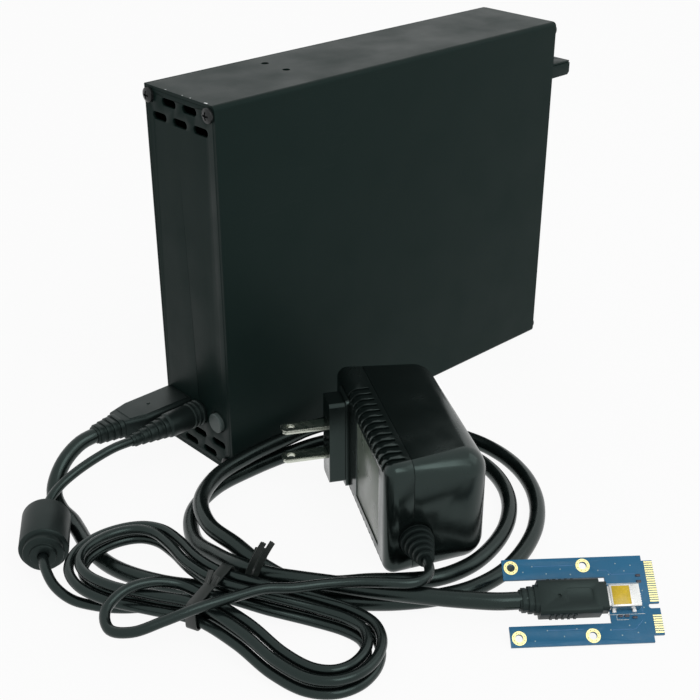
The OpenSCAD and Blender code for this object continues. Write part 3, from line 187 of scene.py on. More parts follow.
def hank_world(x, y, z):
    """A point given along and across the hank, as a point of the whole."""
    turn = math.radians(HANK_TURN)
    return (HANK_ORIGIN[0] + x * math.cos(turn) - y * math.sin(turn),
            HANK_ORIGIN[1] + x * math.sin(turn) + y * math.cos(turn), z)


def hank_point(t):
    """The thin cord's hank at t loops: a dog bone drawn in at its waist, in two layers."""
    turn = math.pi / 2 - 2 * math.pi * t
    reach = HANK_REACH[0] if math.cos(turn) > 0 else HANK_REACH[1]

    def base(a):
        return np.array([reach * math.cos(a), HANK_HALF_W * math.sin(a) * math.hypot(math.cos(a), HANK_WAIST)])

    along = base(turn + 0.002) - base(turn - 0.002)
    along /= np.linalg.norm(along)
    inward = HANK_PITCH * (HANK_LOOPS / 2 - min(t, HANK_LOOPS - t))
    x, y = base(turn) + inward * np.array([-along[1], along[0]])
    if x < 0:
        f = x / HANK_BOW
        x, y = HANK_BOW * math.sin(f) - y * math.sin(f), HANK_BOW * (1 - math.cos(f)) + y * math.cos(f)
    layer = min(1.0, max(0.0, (t - HANK_LOOPS / 2 + 0.25) / 0.5))
    rise = HANK_RISE * smooth_step((HANK_RISE_FROM - x) / HANK_RISE_FROM)
    return hank_world(x, y, THIN_D / 2 + HANK_LAYER * layer + rise)


def catmull(points, step):
    """A smooth line through points, with a vertex about every step."""
    p = np.array(points, float)
    p = np.vstack([2 * p[0] - p[1], p, 2 * p[-1] - p[-2]])
    knots = np.concatenate([[0], np.cumsum(np.sqrt(np.linalg.norm(np.diff(p, axis=0), axis=1)))])
    line = []
    for i in range(1, len(p) - 2):
        t0, t1, t2, t3 = knots[i - 1:i + 3]
        count = max(2, int(np.linalg.norm(p[i + 1] - p[i]) / step))
        for t in np.linspace(t1, t2, count, endpoint=False):
            a1 = (t1 - t) / (t1 - t0) * p[i - 1] + (t - t0) / (t1 - t0) * p[i]
            a2 = (t2 - t) / (t2 - t1) * p[i] + (t - t1) / (t2 - t1) * p[i + 1]
            a3 = (t3 - t) / (t3 - t2) * p[i + 1] + (t - t2) / (t3 - t2) * p[i + 2]
            b1 = (t2 - t) / (t2 - t0) * a1 + (t - t0) / (t2 - t0) * a2
            b2 = (t3 - t) / (t3 - t1) * a2 + (t - t1) / (t3 - t1) * a3
            line.append((t2 - t) / (t2 - t1) * b1 + (t - t1) / (t2 - t1) * b2)
    line.append(p[-2])
    return np.array(line)


def turns(point, first, last):
    """The points of a coil or a hank from one turn to another, which may be lower."""
    count = round(abs(last - first) * POINTS_PER_TURN)
    return [point(first + (last - first) * i / count) for i in range(count + 1)]


def thick_points():
    """The interface cable, from inside the thick plug to inside the small plug."""
    plug_end = place(CARD, MINI_X, MINI_Y, MINI_Z)
    along = np.array(CARD.to_3x3() @ Vector((1, 0, 0)))
    return np.array(
        [(FRONT_X - THICK_START, PLUG_Y, PLUG_Z), (FRONT_X - THICK_OUT, PLUG_Y, PLUG_Z), *LEAD_ROUTE,
         *turns(coil_point, *COIL_TURNS), *TAIL_ROUTE, tuple(plug_end - MINI_RELIEF * along), tuple(plug_end),
         tuple(plug_end + CORD_INSIDE * along)])


def thin_points():
    """The power cord, from inside the adapter's relief to inside the DC plug."""
    outward = np.array(ADAPTER.to_3x3() @ Vector((0, 1, 0)))
    relief = place(ADAPTER, *RELIEF_END)
    turn = math.radians(FERRITE_TURN)
    near = np.array(FERRITE_NEAR)
    far = near + FERRITE_L * np.array([math.cos(turn), math.sin(turn), 0])
    return np.array(
        [tuple(relief - CORD_INSIDE * outward), tuple(relief), *POWER_TAIL_ROUTE,
         *[hank_world(*p) for p in POWER_FOLD_ROUTE], *turns(hank_point, HANK_LOOPS, 0.0),
         *reversed(POWER_RUN_ROUTE), tuple(near), tuple((near + far) / 2), tuple(far), *reversed(POWER_LEAD_ROUTE),
         (FRONT_X - THIN_START, DC_Y, PLUG_Z)])


def cord_curve(name, points, diameter, step):
    """A round curve through points, and its length in metres."""
    line = catmull(points, step) * MM
    curve = bpy.data.curves.new(name, "CURVE")
    curve.dimensions = "3D"
    curve.bevel_depth = diameter * MM / 2
    curve.bevel_resolution = 7
    curve.use_fill_caps = True
    spline = curve.splines.new("POLY")
    spline.points.add(len(line) - 1)
    spline.points.foreach_set("co", np.column_stack([line, np.ones(len(line))]).ravel())
    spline.use_smooth = True
    obj = bpy.data.objects.new(name, curve)
    bpy.context.scene.collection.objects.link(obj)
    return obj, float(np.linalg.norm(np.diff(line, axis=0), axis=1).sum())


def map_range(tree, value, low, high, at_low, at_high):
    """A node that turns low to high into at_low to at_high."""
    node = tree.nodes.new("ShaderNodeMapRange")
    for key, number in (("From Min", low), ("From Max", high), ("To Min", at_low), ("To Max", at_high)):
        node.inputs[key].default_value = number
    tree.links.new(value, node.inputs["Value"])
    return node.outputs["Result"]


# Materials
class Look:
    """A principled material and short ways to add texture nodes to it."""

    def __init__(self, name, colour, rough, metal=0.0, specular=0.5, coat=0.0, tint=None):
        self.name = name
        self.material = bpy.data.materials.new(name)
        self.material.use_nodes = True
        self.tree = self.material.node_tree
        self.shader = self.tree.nodes["Principled BSDF"]
        self.colour = (*colour, 1.0)
        self.set("Base Color", self.colour)
        self.set("Roughness", rough)
        self.set("Metallic", metal)
        self.set("Specular IOR Level", specular)
        if tint:
            self.set("Specular Tint", (*tint, 1.0))
        if coat:
            self.set("Coat Weight", coat)
            self.set("Coat Roughness", 0.12)
        self.height = None
        self.place = self.add("ShaderNodeTexCoord").outputs["Object"]

    def set(self, socket, value):
        self.shader.inputs[socket].default_value = value

    def add(self, kind, **values):
        node = self.tree.nodes.new(kind)
        for key, value in values.items():
            if hasattr(node, key):
                setattr(node, key, value)
            else:
                node.inputs[key.replace("_", " ")].default_value = value
        return node

    def link(self, a, b):
        self.tree.links.new(a, b)

    def noise(self, scale, detail=3.0, stretch=(1, 1, 1), turn=0.0):
        mapping = self.add("ShaderNodeMapping")
        mapping.inputs["Scale"].default_value = stretch
        mapping.inputs["Rotation"].default_value = (0, math.radians(turn), 0)
        self.link(self.place, mapping.inputs["Vector"])
        noise = self.add("ShaderNodeTexNoise", Scale=scale, Detail=detail)
        self.link(mapping.outputs["Vector"], noise.inputs["Vector"])
        return noise.outputs["Fac"]

    def steps(self, value, low, high, at_low=0.0, at_high=1.0):
        return map_range(self.tree, value, low, high, at_low, at_high)

    def math(self, kind, a, b):
        node = self.add("ShaderNodeMath", operation=kind)
        for socket, value in zip(node.inputs, (a, b)):
            if isinstance(value, (int, float)):
                socket.default_value = value
            else:
                self.link(value, socket)
        return node.outputs[0]

    def blend(self, share, colour):
        """Mixes another colour into the base colour where share is high."""
        node = self.add("ShaderNodeMix", data_type="RGBA")
        base = self.shader.inputs["Base Color"]
        if base.is_linked:
            self.link(base.links[0].from_socket, node.inputs["A"])
        else:
            node.inputs["A"].default_value = base.default_value
        node.inputs["B"].default_value = (*colour, 1.0)
        self.link(share, node.inputs["Factor"])
        self.link(node.outputs["Result"], base)

    def mottle(self, scale, share, lighter=1.6):
        """Slow variation of the colour, as dust and handling leave it."""
        patch = self.steps(self.noise(scale, 4.0), 0.35, 0.7, 0.0, share)
        self.blend(patch, tuple(min(1.0, c * lighter + 0.002) for c in self.colour[:3]))

    def roughen(self, scale, low, high, detail=3.0, stretch=(1, 1, 1)):
        """Patches that are glossier and duller."""
        value = self.steps(self.noise(scale, detail, stretch), 0.3, 0.7, low, high)
        self.link(value, self.shader.inputs["Roughness"])

    def bump(self, value, distance):
        """Adds a height, in metres, to the heights that are already there."""
        node = self.add("ShaderNodeBump", Strength=1.0, Distance=distance)
        self.link(value, node.inputs["Height"])
        if self.height is not None:
            self.link(self.height, node.inputs["Normal"])
        self.height = node.outputs["Normal"]
        self.link(self.height, self.shader.inputs["Normal"])

    def scratches(self, turn, scale, share, colour):
        """Few thin light lines across a painted face."""
        line = self.noise(scale, 1.0, (1, 1, 26), turn)
        where = self.noise(14, 1.0)
        mask = self.math("MULTIPLY", self.steps(line, 0.70, 0.735, 0, share), self.steps(where, 0.52, 0.6))
        self.blend(mask, colour)


def grained(name, colour, rough, grain=1800, depth=0.00002, patch=9, share=0.5, spread=0.07, **more):
    """A moulded or painted surface: fine grain, patchy sheen and slow mottling."""
    look = Look(name, colour, rough, **more)
    look.mottle(patch, share)
    look.roughen(patch * 7, rough - spread, rough + spread)
    look.bump(look.noise(grain, 2.0), depth)
    return look


def metal(name, colour, rough, brush=(1, 1, 30), grain=260, **more):
    """A plated or rolled metal with a faint brushed direction."""
    look = Look(name, colour, rough, metal=1.0, **more)
    look.mottle(60, 0.35, 0.72)
    look.roughen(grain, rough - 0.08, rough + 0.1, 2.0, brush)
    look.bump(look.noise(grain * 4, 2.0, brush), 0.000006)
    return look


# The faint green of the sheen on the dark paints and plastics
COOL = (0.74, 1.0, 0.94)


def make_looks():
    """Every material, by its name."""
    paint = grained("black_paint", (0.0068, 0.0150, 0.0134), 0.45, grain=2300, depth=0.00003, patch=7, share=0.2,
                    specular=0.085, tint=COOL)
    paint.scratches(24, 90, 0.07, (0.07, 0.08, 0.08))
    paint.scratches(-62, 120, 0.05, (0.06, 0.07, 0.07))
    screw = grained("black_screw", (0.008, 0.010, 0.010), 0.34, depth=0.00001, specular=0.3)
    screw.scratches(10, 600, 0.9, (0.35, 0.36, 0.35))
    looks = [
        paint,
        screw,
        metal("plated_steel", (0.56, 0.57, 0.56), 0.28),
        metal("nickel_blade", (0.60, 0.63, 0.55), 0.24, brush=(3, 1, 1), grain=120),
        metal("gold", (0.84, 0.76, 0.36), 0.36, brush=(1, 1, 1)),
        metal("standoff_brass", (0.66, 0.49, 0.20), 0.32),
        metal("heat_sink_metal", (0.66, 0.67, 0.68), 0.4),
        grained("foot_rubber", (0.012, 0.012, 0.012), 0.8, depth=0.00006),
        grained("green_board", (0.02, 0.12, 0.05), 0.3, depth=0.00001, coat=0.3),
        grained("brown_board", (0.35, 0.24, 0.10), 0.6),
        grained("slot_plastic", (0.72, 0.68, 0.56), 0.5),
        grained("chip_black", (0.016, 0.016, 0.017), 0.55),
        grained("part_dark", (0.03, 0.03, 0.05), 0.35),
        grained("ferrite_grey", (0.07, 0.07, 0.075), 0.65, depth=0.00005),
        grained("button_plastic", (0.075, 0.10, 0.095), 0.42, grain=900, depth=0.00002, specular=0.3),
        grained("moulded_black", (0.0060, 0.0090, 0.0088), 0.44, grain=2600, depth=0.00002, specular=0.30, tint=COOL),
        grained("thick_cable", (0.0034, 0.0052, 0.0050), 0.26, grain=1500, depth=0.00001, patch=20, specular=0.42,
                tint=COOL),
        grained("thin_cord", (0.0034, 0.0052, 0.0052), 0.25, grain=1700, depth=0.00001, patch=24, specular=0.42,
                tint=COOL),
        grained("tie_black", (0.015, 0.020, 0.018), 0.36, depth=0.00001),
        grained("adapter_black", (0.0050, 0.0074, 0.0070), 0.22, grain=1900, depth=0.000012, patch=12, share=0.3,
                specular=0.45, tint=COOL),
        grained("label_grey", (0.155, 0.185, 0.150), 0.3, grain=700, depth=0.000008),
        grained("amber_tape", (0.62, 0.43, 0.008), 0.26, grain=500, depth=0.00003, patch=300),
        grained("via_gold", (0.30, 0.42, 0.44), 0.35, depth=0.000004),
        grained("trace_blue", (0.035, 0.17, 0.38), 0.3, depth=0.000004),
        grained("dot_dark", (0.22, 0.17, 0.06), 0.4, depth=0.000004),
        metal("solder", (0.60, 0.61, 0.62), 0.38, brush=(1, 1, 1)),
        grained("mark_white", (0.72, 0.78, 0.78), 0.5, depth=0.000004),
        grained("blue_board", (0.014, 0.138, 0.272), 0.40, grain=1400, depth=0.000012, patch=60, share=0.2,
                specular=0.3),
    ]
    return {look.name: look for look in looks}


# Softened edges of the CAD's nodes; the rounding is given by material, in millimetres
EDGE_WIDTH = {"black_paint": 0.25, "plated_steel": 0.08, "adapter_black": 0.25, "blue_board": 0.05, "gold": None,
              "nickel_blade": 0.2, "label_grey": 0.1, "moulded_black": 0.25, "black_screw": 0.15}
OTHER_EDGE = 0.12
# The two nodes of the one folded cover keep their edges, so that the seam between them doesn't show
SHARP_NODES = ("cover_top", "housing_cover")
WELD_METRES = 0.000002
BEVEL_FROM, SMOOTH_TO = 50, 33


def smooth_group():
    """A node group that shades an evaluated mesh smooth, except over sharp edges."""
    group = bpy.data.node_groups.new("smooth_by_angle", "GeometryNodeTree")
    group.interface.new_socket("Geometry", in_out="INPUT", socket_type="NodeSocketGeometry")
    group.interface.new_socket("Geometry", in_out="OUTPUT", socket_type="NodeSocketGeometry")
    source, sink = group.nodes.new("NodeGroupInput"), group.nodes.new("NodeGroupOutput")
    faces, edges = group.nodes.new("GeometryNodeSetShadeSmooth"), group.nodes.new("GeometryNodeSetShadeSmooth")
    angle = group.nodes.new("GeometryNodeInputMeshEdgeAngle")
    sharp = group.nodes.new("FunctionNodeCompare")
    sharp.operation = "LESS_EQUAL"
    sharp.inputs["B"].default_value = math.radians(SMOOTH_TO)
    edges.domain = "EDGE"
    link = group.links.new
    link(source.outputs[0], faces.inputs["Geometry"])
    link(faces.outputs[0], edges.inputs["Geometry"])
    link(angle.outputs["Unsigned Angle"], sharp.inputs["A"])
    link(sharp.outputs[0], edges.inputs["Shade Smooth"])
    link(edges.outputs[0], sink.inputs[0])
    return group


def soften(obj, group, width):
    """Welds a mesh's split corners, rounds its sharp edges a little and shades it smooth."""
    weld = obj.modifiers.new("weld", "WELD")
    weld.merge_threshold = WELD_METRES
    if width:
        bevel = obj.modifiers.new("bevel", "BEVEL")
        bevel.width = width * MM
        bevel.segments = 2
        bevel.limit_method = "ANGLE"
        bevel.angle_limit = math.radians(BEVEL_FROM)
        bevel.harden_normals = False
    shade = obj.modifiers.new("shade", "NODES")
    shade.node_group = group


def dress_nodes(looks, group):
    """Gives every CAD node its material and its softened edges."""
    slot_of = {s["node"]: s["material_slot"] for s in frame["record"]["subparts"]}
    for name, obj in nodes.items():
        slot = slot_of[name]
        obj.data.materials.clear()
        obj.data.materials.append(looks[slot].material)
        soften(obj, group, None if name in SHARP_NODES else EDGE_WIDTH.get(slot, OTHER_EDGE))


# Small shapes that the scene adds; sizes in millimetres
def mesh_piece(name, build, look, body="kit", matrix=None, smooth=True):
    """Makes an object from a bmesh that build fills, in millimetres of matrix's own frame."""
    bm = bmesh.new()
    build(bm)
    bmesh.ops.recalc_face_normals(bm, faces=bm.faces)
    place_in = matrix or Matrix.Identity(4)
    for v in bm.verts:
        v.co = place_in @ (v.co * MM)
    mesh = bpy.data.meshes.new(name)
    bm.to_mesh(mesh)
    bm.free()
    mesh.polygons.foreach_set("use_smooth", [smooth] * len(mesh.polygons))
    mesh.materials.append(look.material)
    obj = bpy.data.objects.new(name, mesh)
    bpy.context.scene.collection.objects.link(obj)
    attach(obj, body)
    return obj


def join_rings(bm, rings):
    """Faces between each two neighbours of a row of closed rings of vertices."""
    count = len(rings[0])
    for a, b in zip(rings, rings[1:]):
        for i in range(count):
            bm.faces.new((a[i], a[(i + 1) % count], b[(i + 1) % count], b[i]))


def slab(bm, outline, low, high, inset=0.0):
    """A plate from a flat outline; its upper edge is drawn in by inset towards the middle."""
    middle = np.mean(outline, axis=0)
    rings = []
    for z, share in ((low, 0.0), (high - inset, 0.0), (high, inset)):
        ring = []
        for x, y in outline:
            out = np.array([x, y]) - middle
            pull = share / max(np.linalg.norm(out), 0.001)
            ring.append(bm.verts.new((x - out[0] * pull, y - out[1] * pull, z)))
        rings.append(ring)
    join_rings(bm, rings)
    bm.faces.new(rings[-1])
    bm.faces.new(list(reversed(rings[0])))


def round_outline(width, height, radius, steps=6):
    """A rectangle with round corners about the origin."""
    points = []
    for sx, sy, first in ((1, 1, 0), (-1, 1, 90), (-1, -1, 180), (1, -1, 270)):
        for i in range(steps + 1):
            a = math.radians(first + 90 * i / steps)
            points.append((sx * (width / 2 - radius) + radius * math.cos(a),
                           sy * (height / 2 - radius) + radius * math.sin(a)))
    return points


def box_outline(x0, y0, x1, y1):
    """A rectangle's outline, from two opposite corners."""
    return [(x0, y0), (x1, y0), (x1, y1), (x0, y1)]


def tapered(front, shoulder, back, half_width, half_back):
    """The outline of the thick plug seen from above: straight, then narrower towards its cord."""
    return [(front, -half_width), (front, half_width), (shoulder, half_width), (back, half_back), (back, -half_back),
            (shoulder, -half_width)]


def shifted(outline, x, y):
    """The same outline at another place."""
    return [(px + x, py + y) for px, py in outline]


def disc(radius, x=0.0, y=0.0, sides=20):
    """A circle's outline."""
    return [(x + radius * math.cos(2 * math.pi * i / sides), y + radius * math.sin(2 * math.pi * i / sides))
            for i in range(sides)]


def ribbon(bm, path, across, width, thick):
    """A flat strip with a wire down its middle, swept along a path; across gives its width's direction."""
    half, low, high = width / 2, -thick / 2, thick / 2
    foot, crest, ridge = width * 0.16, width * 0.08, thick * 0.9
    profile = [(-half, low), (half, low), (half, high), (foot, high),
               (crest, ridge), (-crest, ridge), (-foot, high), (-half, high)]
    path = [Vector(p) for p in path]
    rings = []
    for i, point in enumerate(path):
        along = (path[min(i + 1, len(path) - 1)] - path[max(i - 1, 0)]).normalized()
        side = Vector(across[i]).normalized()
        side = (side - along * side.dot(along)).normalized()
        up = side.cross(along)
        rings.append([bm.verts.new(point + side * a + up * b) for a, b in profile])
    join_rings(bm, rings)
    bm.faces.new(list(reversed(rings[0])))
    bm.faces.new(rings[-1])


# The twist tie on the coil: a band of flat wired ribbon round the cords, a twist beside it and two bent ends
TIE_ORIGIN, TIE_TURN = (-131.8, -83.9, 0), 38
TIE = frame_at(TIE_ORIGIN, TIE_TURN)
TIE_W, TIE_T = 3.6, 0.6
TIE_ROOM, TIE_CORNER = (14.4, 12.9), 2.2
KNOT_X, KNOT_Y, KNOT_Z = -TIE_ROOM[0] / 2 - 1.4, 0.6, 3.4
KNOT_RISE, KNOT_REACH = 3.6, 0.9
KNOT_W, END_W, END_T = 2.0, 1.9, 0.5
END_Z, END_IN = 6.5, 1.2
HANK_TIE_Z = 15.4


def tie_loop(bm):
    """The band, standing upright round the cords."""
    wide, high = TIE_ROOM
    loop = round_outline(wide + TIE_T, high + TIE_T, TIE_CORNER)
    loop = [(x, 0, y + high / 2 + TIE_T) for x, y in loop]
    ribbon(bm, [*loop, loop[0]], [(0, 1, 0)] * (len(loop) + 1), TIE_W, TIE_T)


def tie_end(start, lean, height, turn):
    """One standing end: it leaves the twist on the band's near side, leans over and turns a little."""
    def build(bm):
        path, across = [], []
        steps = 12
        for i in range(steps + 1):
            t = i / steps
            side = start - lean * (0.55 * t + 0.45 * t * t)
            path.append((KNOT_X + END_IN * t, side, END_Z + height * t))
            a = math.radians(turn * t)
            across.append((math.sin(a), math.cos(a), 0.35))
        ribbon(bm, path, across, END_W, END_T)
    return build


def tie_knot(bm):
    """The two ends go three quarters of a turn round each other where they leave the band."""
    steps = 14
    for phase in (0, math.pi):
        path, across = [], []
        for i in range(steps + 1):
            a = phase + 1.5 * math.pi * i / steps
            path.append((KNOT_X + KNOT_REACH * math.cos(a), KNOT_Y + KNOT_REACH * math.sin(a),
                         KNOT_Z + KNOT_RISE * i / steps))
            across.append((-math.sin(a), math.cos(a), 0.5))
        ribbon(bm, path, across, KNOT_W, END_T)


def hank_tie_end(side, lean):
    """One short end of the tie on the thin cord's hank."""
    def build(bm):
        path = [(side * (1 + 0.5 * t), lean * 4.5 * t, HANK_TIE_Z + 3.6 * t * (1 - 0.3 * t))
                for t in np.linspace(0, 1, 8)]
        ribbon(bm, path, [(1, 0.3 * side, 0)] * len(path), KNOT_W, END_T)
    return build


def make_ties(looks):
    """Four pieces of the coil's tie, then the two ends of the hank's tie."""
    look = looks["tie_black"]
    pieces = [
        mesh_piece("tie_loop", tie_loop, look, matrix=TIE, smooth=False),
        mesh_piece("tie_knot", tie_knot, look, matrix=TIE),
        mesh_piece("tie_end_long", tie_end(0.2, 7.8, 20.5, 14), look, matrix=TIE, smooth=False),
        mesh_piece("tie_end_short", tie_end(3.0, 7.6, 20.0, -10), look, matrix=TIE, smooth=False),
    ]
    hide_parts("coil_tie")
    hank = frame_at(HANK_ORIGIN, HANK_TURN)
    for name, side, lean in (("hank_tie_end_a", 1.2, 0.5), ("hank_tie_end_b", -1.2, 0.9)):
        pieces.append(mesh_piece(name, hank_tie_end(side, lean), look, matrix=hank, smooth=False))
    return pieces


# The thick plug: half the height of its body, the outlines of its raised panel and its seam, and the pip
PLUG_HALF_H = 4.0
PLUG_PANEL = (-0.9, -20.5, -27.5, 6.6, 4.9)
PLUG_SEAM = (-0.6, -21.7, -29.7, 8.15, 5.9)
SEAM_HALF_T = 0.3
PIP_R, PIP_X = 0.7, -15.5


def make_plug_details(looks):
    """The thick plug's raised panel with a pip, and the seam round its edge."""
    look = looks["moulded_black"]
    plug = Matrix.Translation(Vector((FRONT_X, PLUG_Y, PLUG_Z)) * MM)

    def panel(bm):
        slab(bm, tapered(*PLUG_PANEL), PLUG_HALF_H - 0.2, PLUG_HALF_H + 0.32, 0.25)

    def pip(bm):
        slab(bm, disc(PIP_R, PIP_X), PLUG_HALF_H + 0.2, PLUG_HALF_H + 0.62, 0.2)

    def seam(bm):
        slab(bm, tapered(*PLUG_SEAM), -SEAM_HALF_T, SEAM_HALF_T, 0.05)

    pieces = [
        mesh_piece("plug_panel", panel, look, matrix=plug, smooth=False),
        mesh_piece("plug_pip", pip, look, matrix=plug),
        mesh_piece("plug_seam", seam, look, matrix=plug, smooth=False),
    ]


# The small plug's grip ribs: the first one's place, the step, and how far they reach out from the plug's axis
RIB_COUNT, RIB_X, RIB_STEP, RIB_L, RIB_H = 5, 13.5, 2.0, 0.9, 4.4
RIB_IN, RIB_OUT = 5.8, 6.25


def make_mini_details(looks):
    """Grip ribs on both sides of the small plug."""
    plug = CARD @ Matrix.Translation(Vector((0, MINI_Y, MINI_Z)) * MM)

    def ribs(bm):
        for side in (-1, 1):
            for i in range(RIB_COUNT):
                x = RIB_X + i * RIB_STEP
                outline = box_outline(x, side * RIB_IN, x + RIB_L, side * RIB_OUT)
                slab(bm, outline if side > 0 else outline[::-1], -RIB_H / 2, RIB_H / 2, 0.1)

    piece = mesh_piece("mini_plug_ribs", ribs, looks["moulded_black"], matrix=plug, smooth=False)


# What shows on the card's upper face, in the card's own millimetres
VIAS = ((6.8, 25.4), (10.1, 27.3), (14.6, 24.6), (19.5, 26.1), (22.7, 24.1), (32.2, 25.2), (35.6, 23.6),
        (38.4, 27.4), (41.0, 24.7), (43.4, 26.6), (33.4, 4.6), (36.9, 2.7), (39.8, 5.9), (42.3, 3.4),
        (45.2, 6.6), (45.6, 11.8), (46.0, 17.6), (12.4, 5.2), (17.8, 3.0), (22.2, 5.4), (8.0, 1.8))
TRACES = (((32.2, 25.2), (35.0, 25.2), (36.6, 23.6), (44.4, 23.6)), ((33.4, 4.6), (41.6, 4.6), (44.6, 7.6)),
          ((44.9, 9.2), (44.9, 15.8), (46.2, 17.1)), ((10.1, 27.3), (24.0, 27.3)), ((12.4, 5.2), (24.4, 5.2)))
MARKS = ((33.3, 9.6, 33.45, 20.4), (33.3, 9.6, 45.6, 9.75), (33.3, 20.25, 45.6, 20.4),
         (36.1, 7.8, 39.9, 7.92), (36.1, 9.3, 39.9, 9.42), (36.0, 7.8, 36.12, 9.42))
VIA_R, TRACE_HALF_W = 0.22, 0.09
DOTS_PER_HOLE, DOT_R, DOT_CIRCLE_R, RING_T = 8, 0.17, 1.85, 0.06
LEG_SHAPE, LEG_X, LEG_Y = (1.5, 1.1, 0.3, 3), (35.4, 42.2), 4.25
PIN_SHAPE, PIN_X, PIN_Y, PIN_STEP, PIN_COUNT = (1.2, 0.32, 0.1, 2), 44.7, 13.4, 0.8, 5
TAB_X, TAB_Y, TAB_Z = (40.6, 41.8), (3.84, 3.98), (1.7, 3.6)
VIA_T, TRACE_T, DOT_T, LEG_T, PIN_T, MARK_T = 0.03, 0.018, 0.015, 0.55, 0.16, 0.02
OFF_BOARD = 0.005


def make_card_details(looks):
    """Vias, traces, dots on the holes' gold rings, solder legs and pins, plain white marks, tabs on the socket."""
    top = CARD_T + OFF_BOARD

    def vias(bm):
        for x, y in VIAS:
            slab(bm, disc(VIA_R, x, y, 10), top, top + VIA_T)

    def traces(bm):
        for points in TRACES:
            for (x0, y0), (x1, y1) in zip(points, points[1:]):
                length = math.hypot(x1 - x0, y1 - y0)
                nx, ny = -(y1 - y0) / length * TRACE_HALF_W, (x1 - x0) / length * TRACE_HALF_W
                outline = [(x0 + nx, y0 + ny), (x0 - nx, y0 - ny), (x1 - nx, y1 - ny), (x1 + nx, y1 + ny)]
                slab(bm, outline, top, top + TRACE_T)

    def dots(bm):
        for x, y in CARD_HOLES:
            for i in range(DOTS_PER_HOLE):
                a = 2 * math.pi * (i + 0.5) / DOTS_PER_HOLE
                outline = disc(DOT_R, x + DOT_CIRCLE_R * math.cos(a), y + DOT_CIRCLE_R * math.sin(a), 8)
                slab(bm, outline, top + RING_T, top + RING_T + DOT_T)

    def legs(bm):
        for side in (-1, 1):
            for x in LEG_X:
                slab(bm, shifted(round_outline(*LEG_SHAPE), x, MINI_Y + side * LEG_Y), top, top + LEG_T, 0.2)
        for i in range(PIN_COUNT):
            slab(bm, shifted(round_outline(*PIN_SHAPE), PIN_X, PIN_Y + i * PIN_STEP), top, top + PIN_T, 0.05)

    def marks(bm):
        for mark in MARKS:
            slab(bm, box_outline(*mark), top, top + MARK_T)

    def tabs(bm):
        for side in (-1, 1):
            slab(bm, box_outline(TAB_X[0], MINI_Y + side * TAB_Y[0], TAB_X[1], MINI_Y + side * TAB_Y[1]), *TAB_Z)

    for name, build, slot in (("card_vias", vias, "via_gold"), ("card_traces", traces, "trace_blue"),
                              ("hole_dots", dots, "dot_dark"), ("solder_legs", legs, "solder"),
                              ("card_marks", marks, "mark_white"), ("socket_tabs", tabs, "plated_steel")):
        mesh_piece(name, build, looks[slot], "card", CARD, smooth=False)


# Chips in the paint of the housing's upper front edge, pale matte patches that are partly bare steel and partly a
# painted
# highlight on the edge: the share of the width that each one lies at, its length and its width
CHIPS_AND_GLINTS = ((0.31, 0.9, 0.35), (0.55, 0.7, 0.3), (0.66, 0.6, 0.45), (0.87, 2.0, 0.8))
CHIP_GLINT_X = FRONT_X + 0.3


def make_chips_and_glints(looks):
    """All the paint's chips in one piece, hardly thicker than the paint; their pale colour also paints a highlight on
    the edge.
    """
    def build(bm):
        for share, length, width in CHIPS_AND_GLINTS:
            y = HOUSING_W / 2 - HOUSING_W * share
            outline = [(CHIP_GLINT_X, y - length / 2), (CHIP_GLINT_X + width, y - length * 0.3),
                       (CHIP_GLINT_X + width * 0.7, y + length / 2), (CHIP_GLINT_X - 0.05, y + length * 0.4)]
            slab(bm, outline, HOUSING_H - 0.01, HOUSING_H + 0.02)

    # The marks' pale matte colour paints the edge's highlight into these chips
    mesh_piece("chips_and_painted_glints", build, looks["mark_white"], smooth=False)


# The studio, in metres: the floor's half size and its drop, the share of white that the camera sees of it, the
# sky's strength from below to above, and the lamps with their place, power and size
FLOOR_HALF, FLOOR_DROP = 6.0, 0.0003
FLOOR_WHITE = 0.93
SKY_STRENGTH = (0.34, 0.52)
LAMPS = (
    ("key", (-0.20, -0.85, 0.95), 4.0, 0.7),
    ("fill", (0.75, -0.75, 0.85), 1.6, 0.8),
    ("rim", (0.72, 0.90, 0.72), 0.7, 1.1),
)
LAMPS_AIM = (-0.03, -0.05, 0.04)


def seen_directly(tree):
    """1 for rays of the camera, of reflections and through glass, which all see the same white."""
    path = tree.nodes.new("ShaderNodeLightPath")
    found = path.outputs["Is Camera Ray"]
    for kind in ("Is Glossy Ray", "Is Transmission Ray"):
        either = tree.nodes.new("ShaderNodeMath")
        either.operation = "MAXIMUM"
        tree.links.new(found, either.inputs[0])
        tree.links.new(path.outputs[kind], either.inputs[1])
        found = either.outputs[0]
    return found


def make_floor():
    """A pale floor that is white to the camera and keeps the object's shadow."""
    mesh = bpy.data.meshes.new("floor")
    corners = [(x, y, 0) for x, y in box_outline(-FLOOR_HALF, -FLOOR_HALF, FLOOR_HALF, FLOOR_HALF)]
    mesh.from_pydata(corners, [], [(0, 1, 2, 3)])
    floor = bpy.data.objects.new("floor", mesh)
    floor.location.z = -FLOOR_DROP
    bpy.context.scene.collection.objects.link(floor)
    look = Look("floor", (0.86, 0.86, 0.86), 0.7, specular=0.2)
    look.mottle(3, 0.1, 1.02)
    white = look.add("ShaderNodeEmission", Strength=1.0)
    seen = look.math("MULTIPLY", seen_directly(look.tree), FLOOR_WHITE)
    share = look.add("ShaderNodeMixShader")
    look.link(seen, share.inputs["Fac"])
    look.link(look.shader.outputs[0], share.inputs[1])
    look.link(white.outputs[0], share.inputs[2])
    look.link(share.outputs[0], look.tree.nodes["Material Output"].inputs["Surface"])
    mesh.materials.append(look.material)


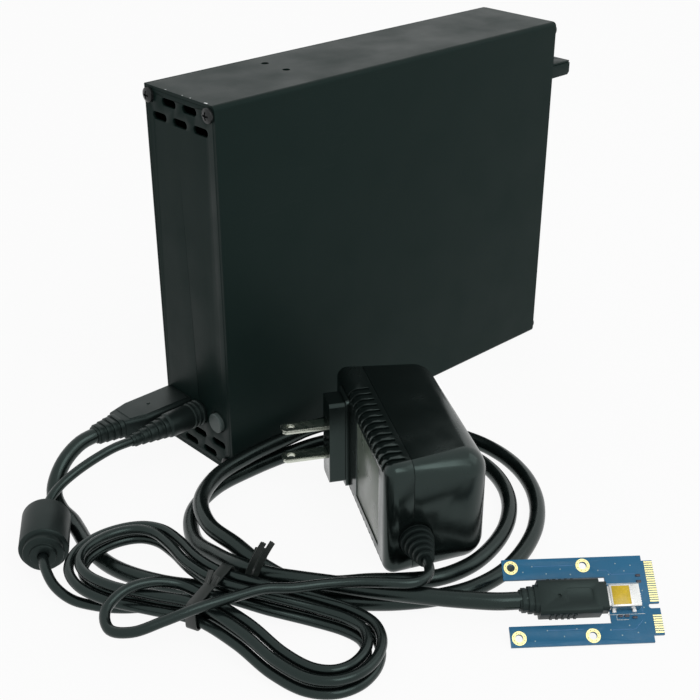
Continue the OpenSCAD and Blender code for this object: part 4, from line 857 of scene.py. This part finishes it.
def make_sky():
    """A plain white world: soft light, a little stronger from above, and white where it is seen."""
    world = bpy.data.worlds.new("studio")
    bpy.context.scene.world = world
    world.use_nodes = True
    tree = world.node_tree
    light = tree.nodes["Background"]
    light.inputs["Color"].default_value = (1, 1, 1, 1)
    coords = tree.nodes.new("ShaderNodeTexCoord")
    split = tree.nodes.new("ShaderNodeSeparateXYZ")
    tree.links.new(coords.outputs["Generated"], split.inputs[0])
    rise = map_range(tree, split.outputs["Z"], 0.0, 1.0, *SKY_STRENGTH)
    tree.links.new(rise, light.inputs["Strength"])
    seen = tree.nodes.new("ShaderNodeBackground")
    seen.inputs["Color"].default_value = (1, 1, 1, 1)
    seen.inputs["Strength"].default_value = 1.0
    mix = tree.nodes.new("ShaderNodeMixShader")
    tree.links.new(seen_directly(tree), mix.inputs["Fac"])
    tree.links.new(light.outputs[0], mix.inputs[1])
    tree.links.new(seen.outputs[0], mix.inputs[2])
    tree.links.new(mix.outputs[0], tree.nodes["World Output"].inputs["Surface"])


def make_lamps():
    for name, at, power, width in LAMPS:
        data = bpy.data.lights.new(name, "AREA")
        data.size = width
        data.energy = power
        lamp = bpy.data.objects.new(name, data)
        lamp.location = at
        lamp.rotation_euler = (Vector(LAMPS_AIM) - Vector(at)).to_track_quat("-Z", "Y").to_euler()
        bpy.context.scene.collection.objects.link(lamp)


make_camera()
thick, thick_length = cord_curve("thick_cable", thick_points(), THICK_D, THICK_STEP)
thin, thin_length = cord_curve("thin_cord", thin_points(), THIN_D, THIN_STEP)
looks = make_looks()
dress_nodes(looks, smooth_group())
for cable, slot in ((thick, "thick_cable"), (thin, "thin_cord")):
    cable.data.materials.append(looks[slot].material)
    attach(cable, "kit")
ties = make_ties(looks)
make_plug_details(looks)
make_mini_details(looks)
make_card_details(looks)
make_chips_and_glints(looks)
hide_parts("interface_lead", "interface_coil", "interface_tail")
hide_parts("power_lead", "power_run", "power_hank", "power_tail")

make_floor()
make_sky()
make_lamps()
bpy.context.scene.view_settings.view_transform = "Standard"
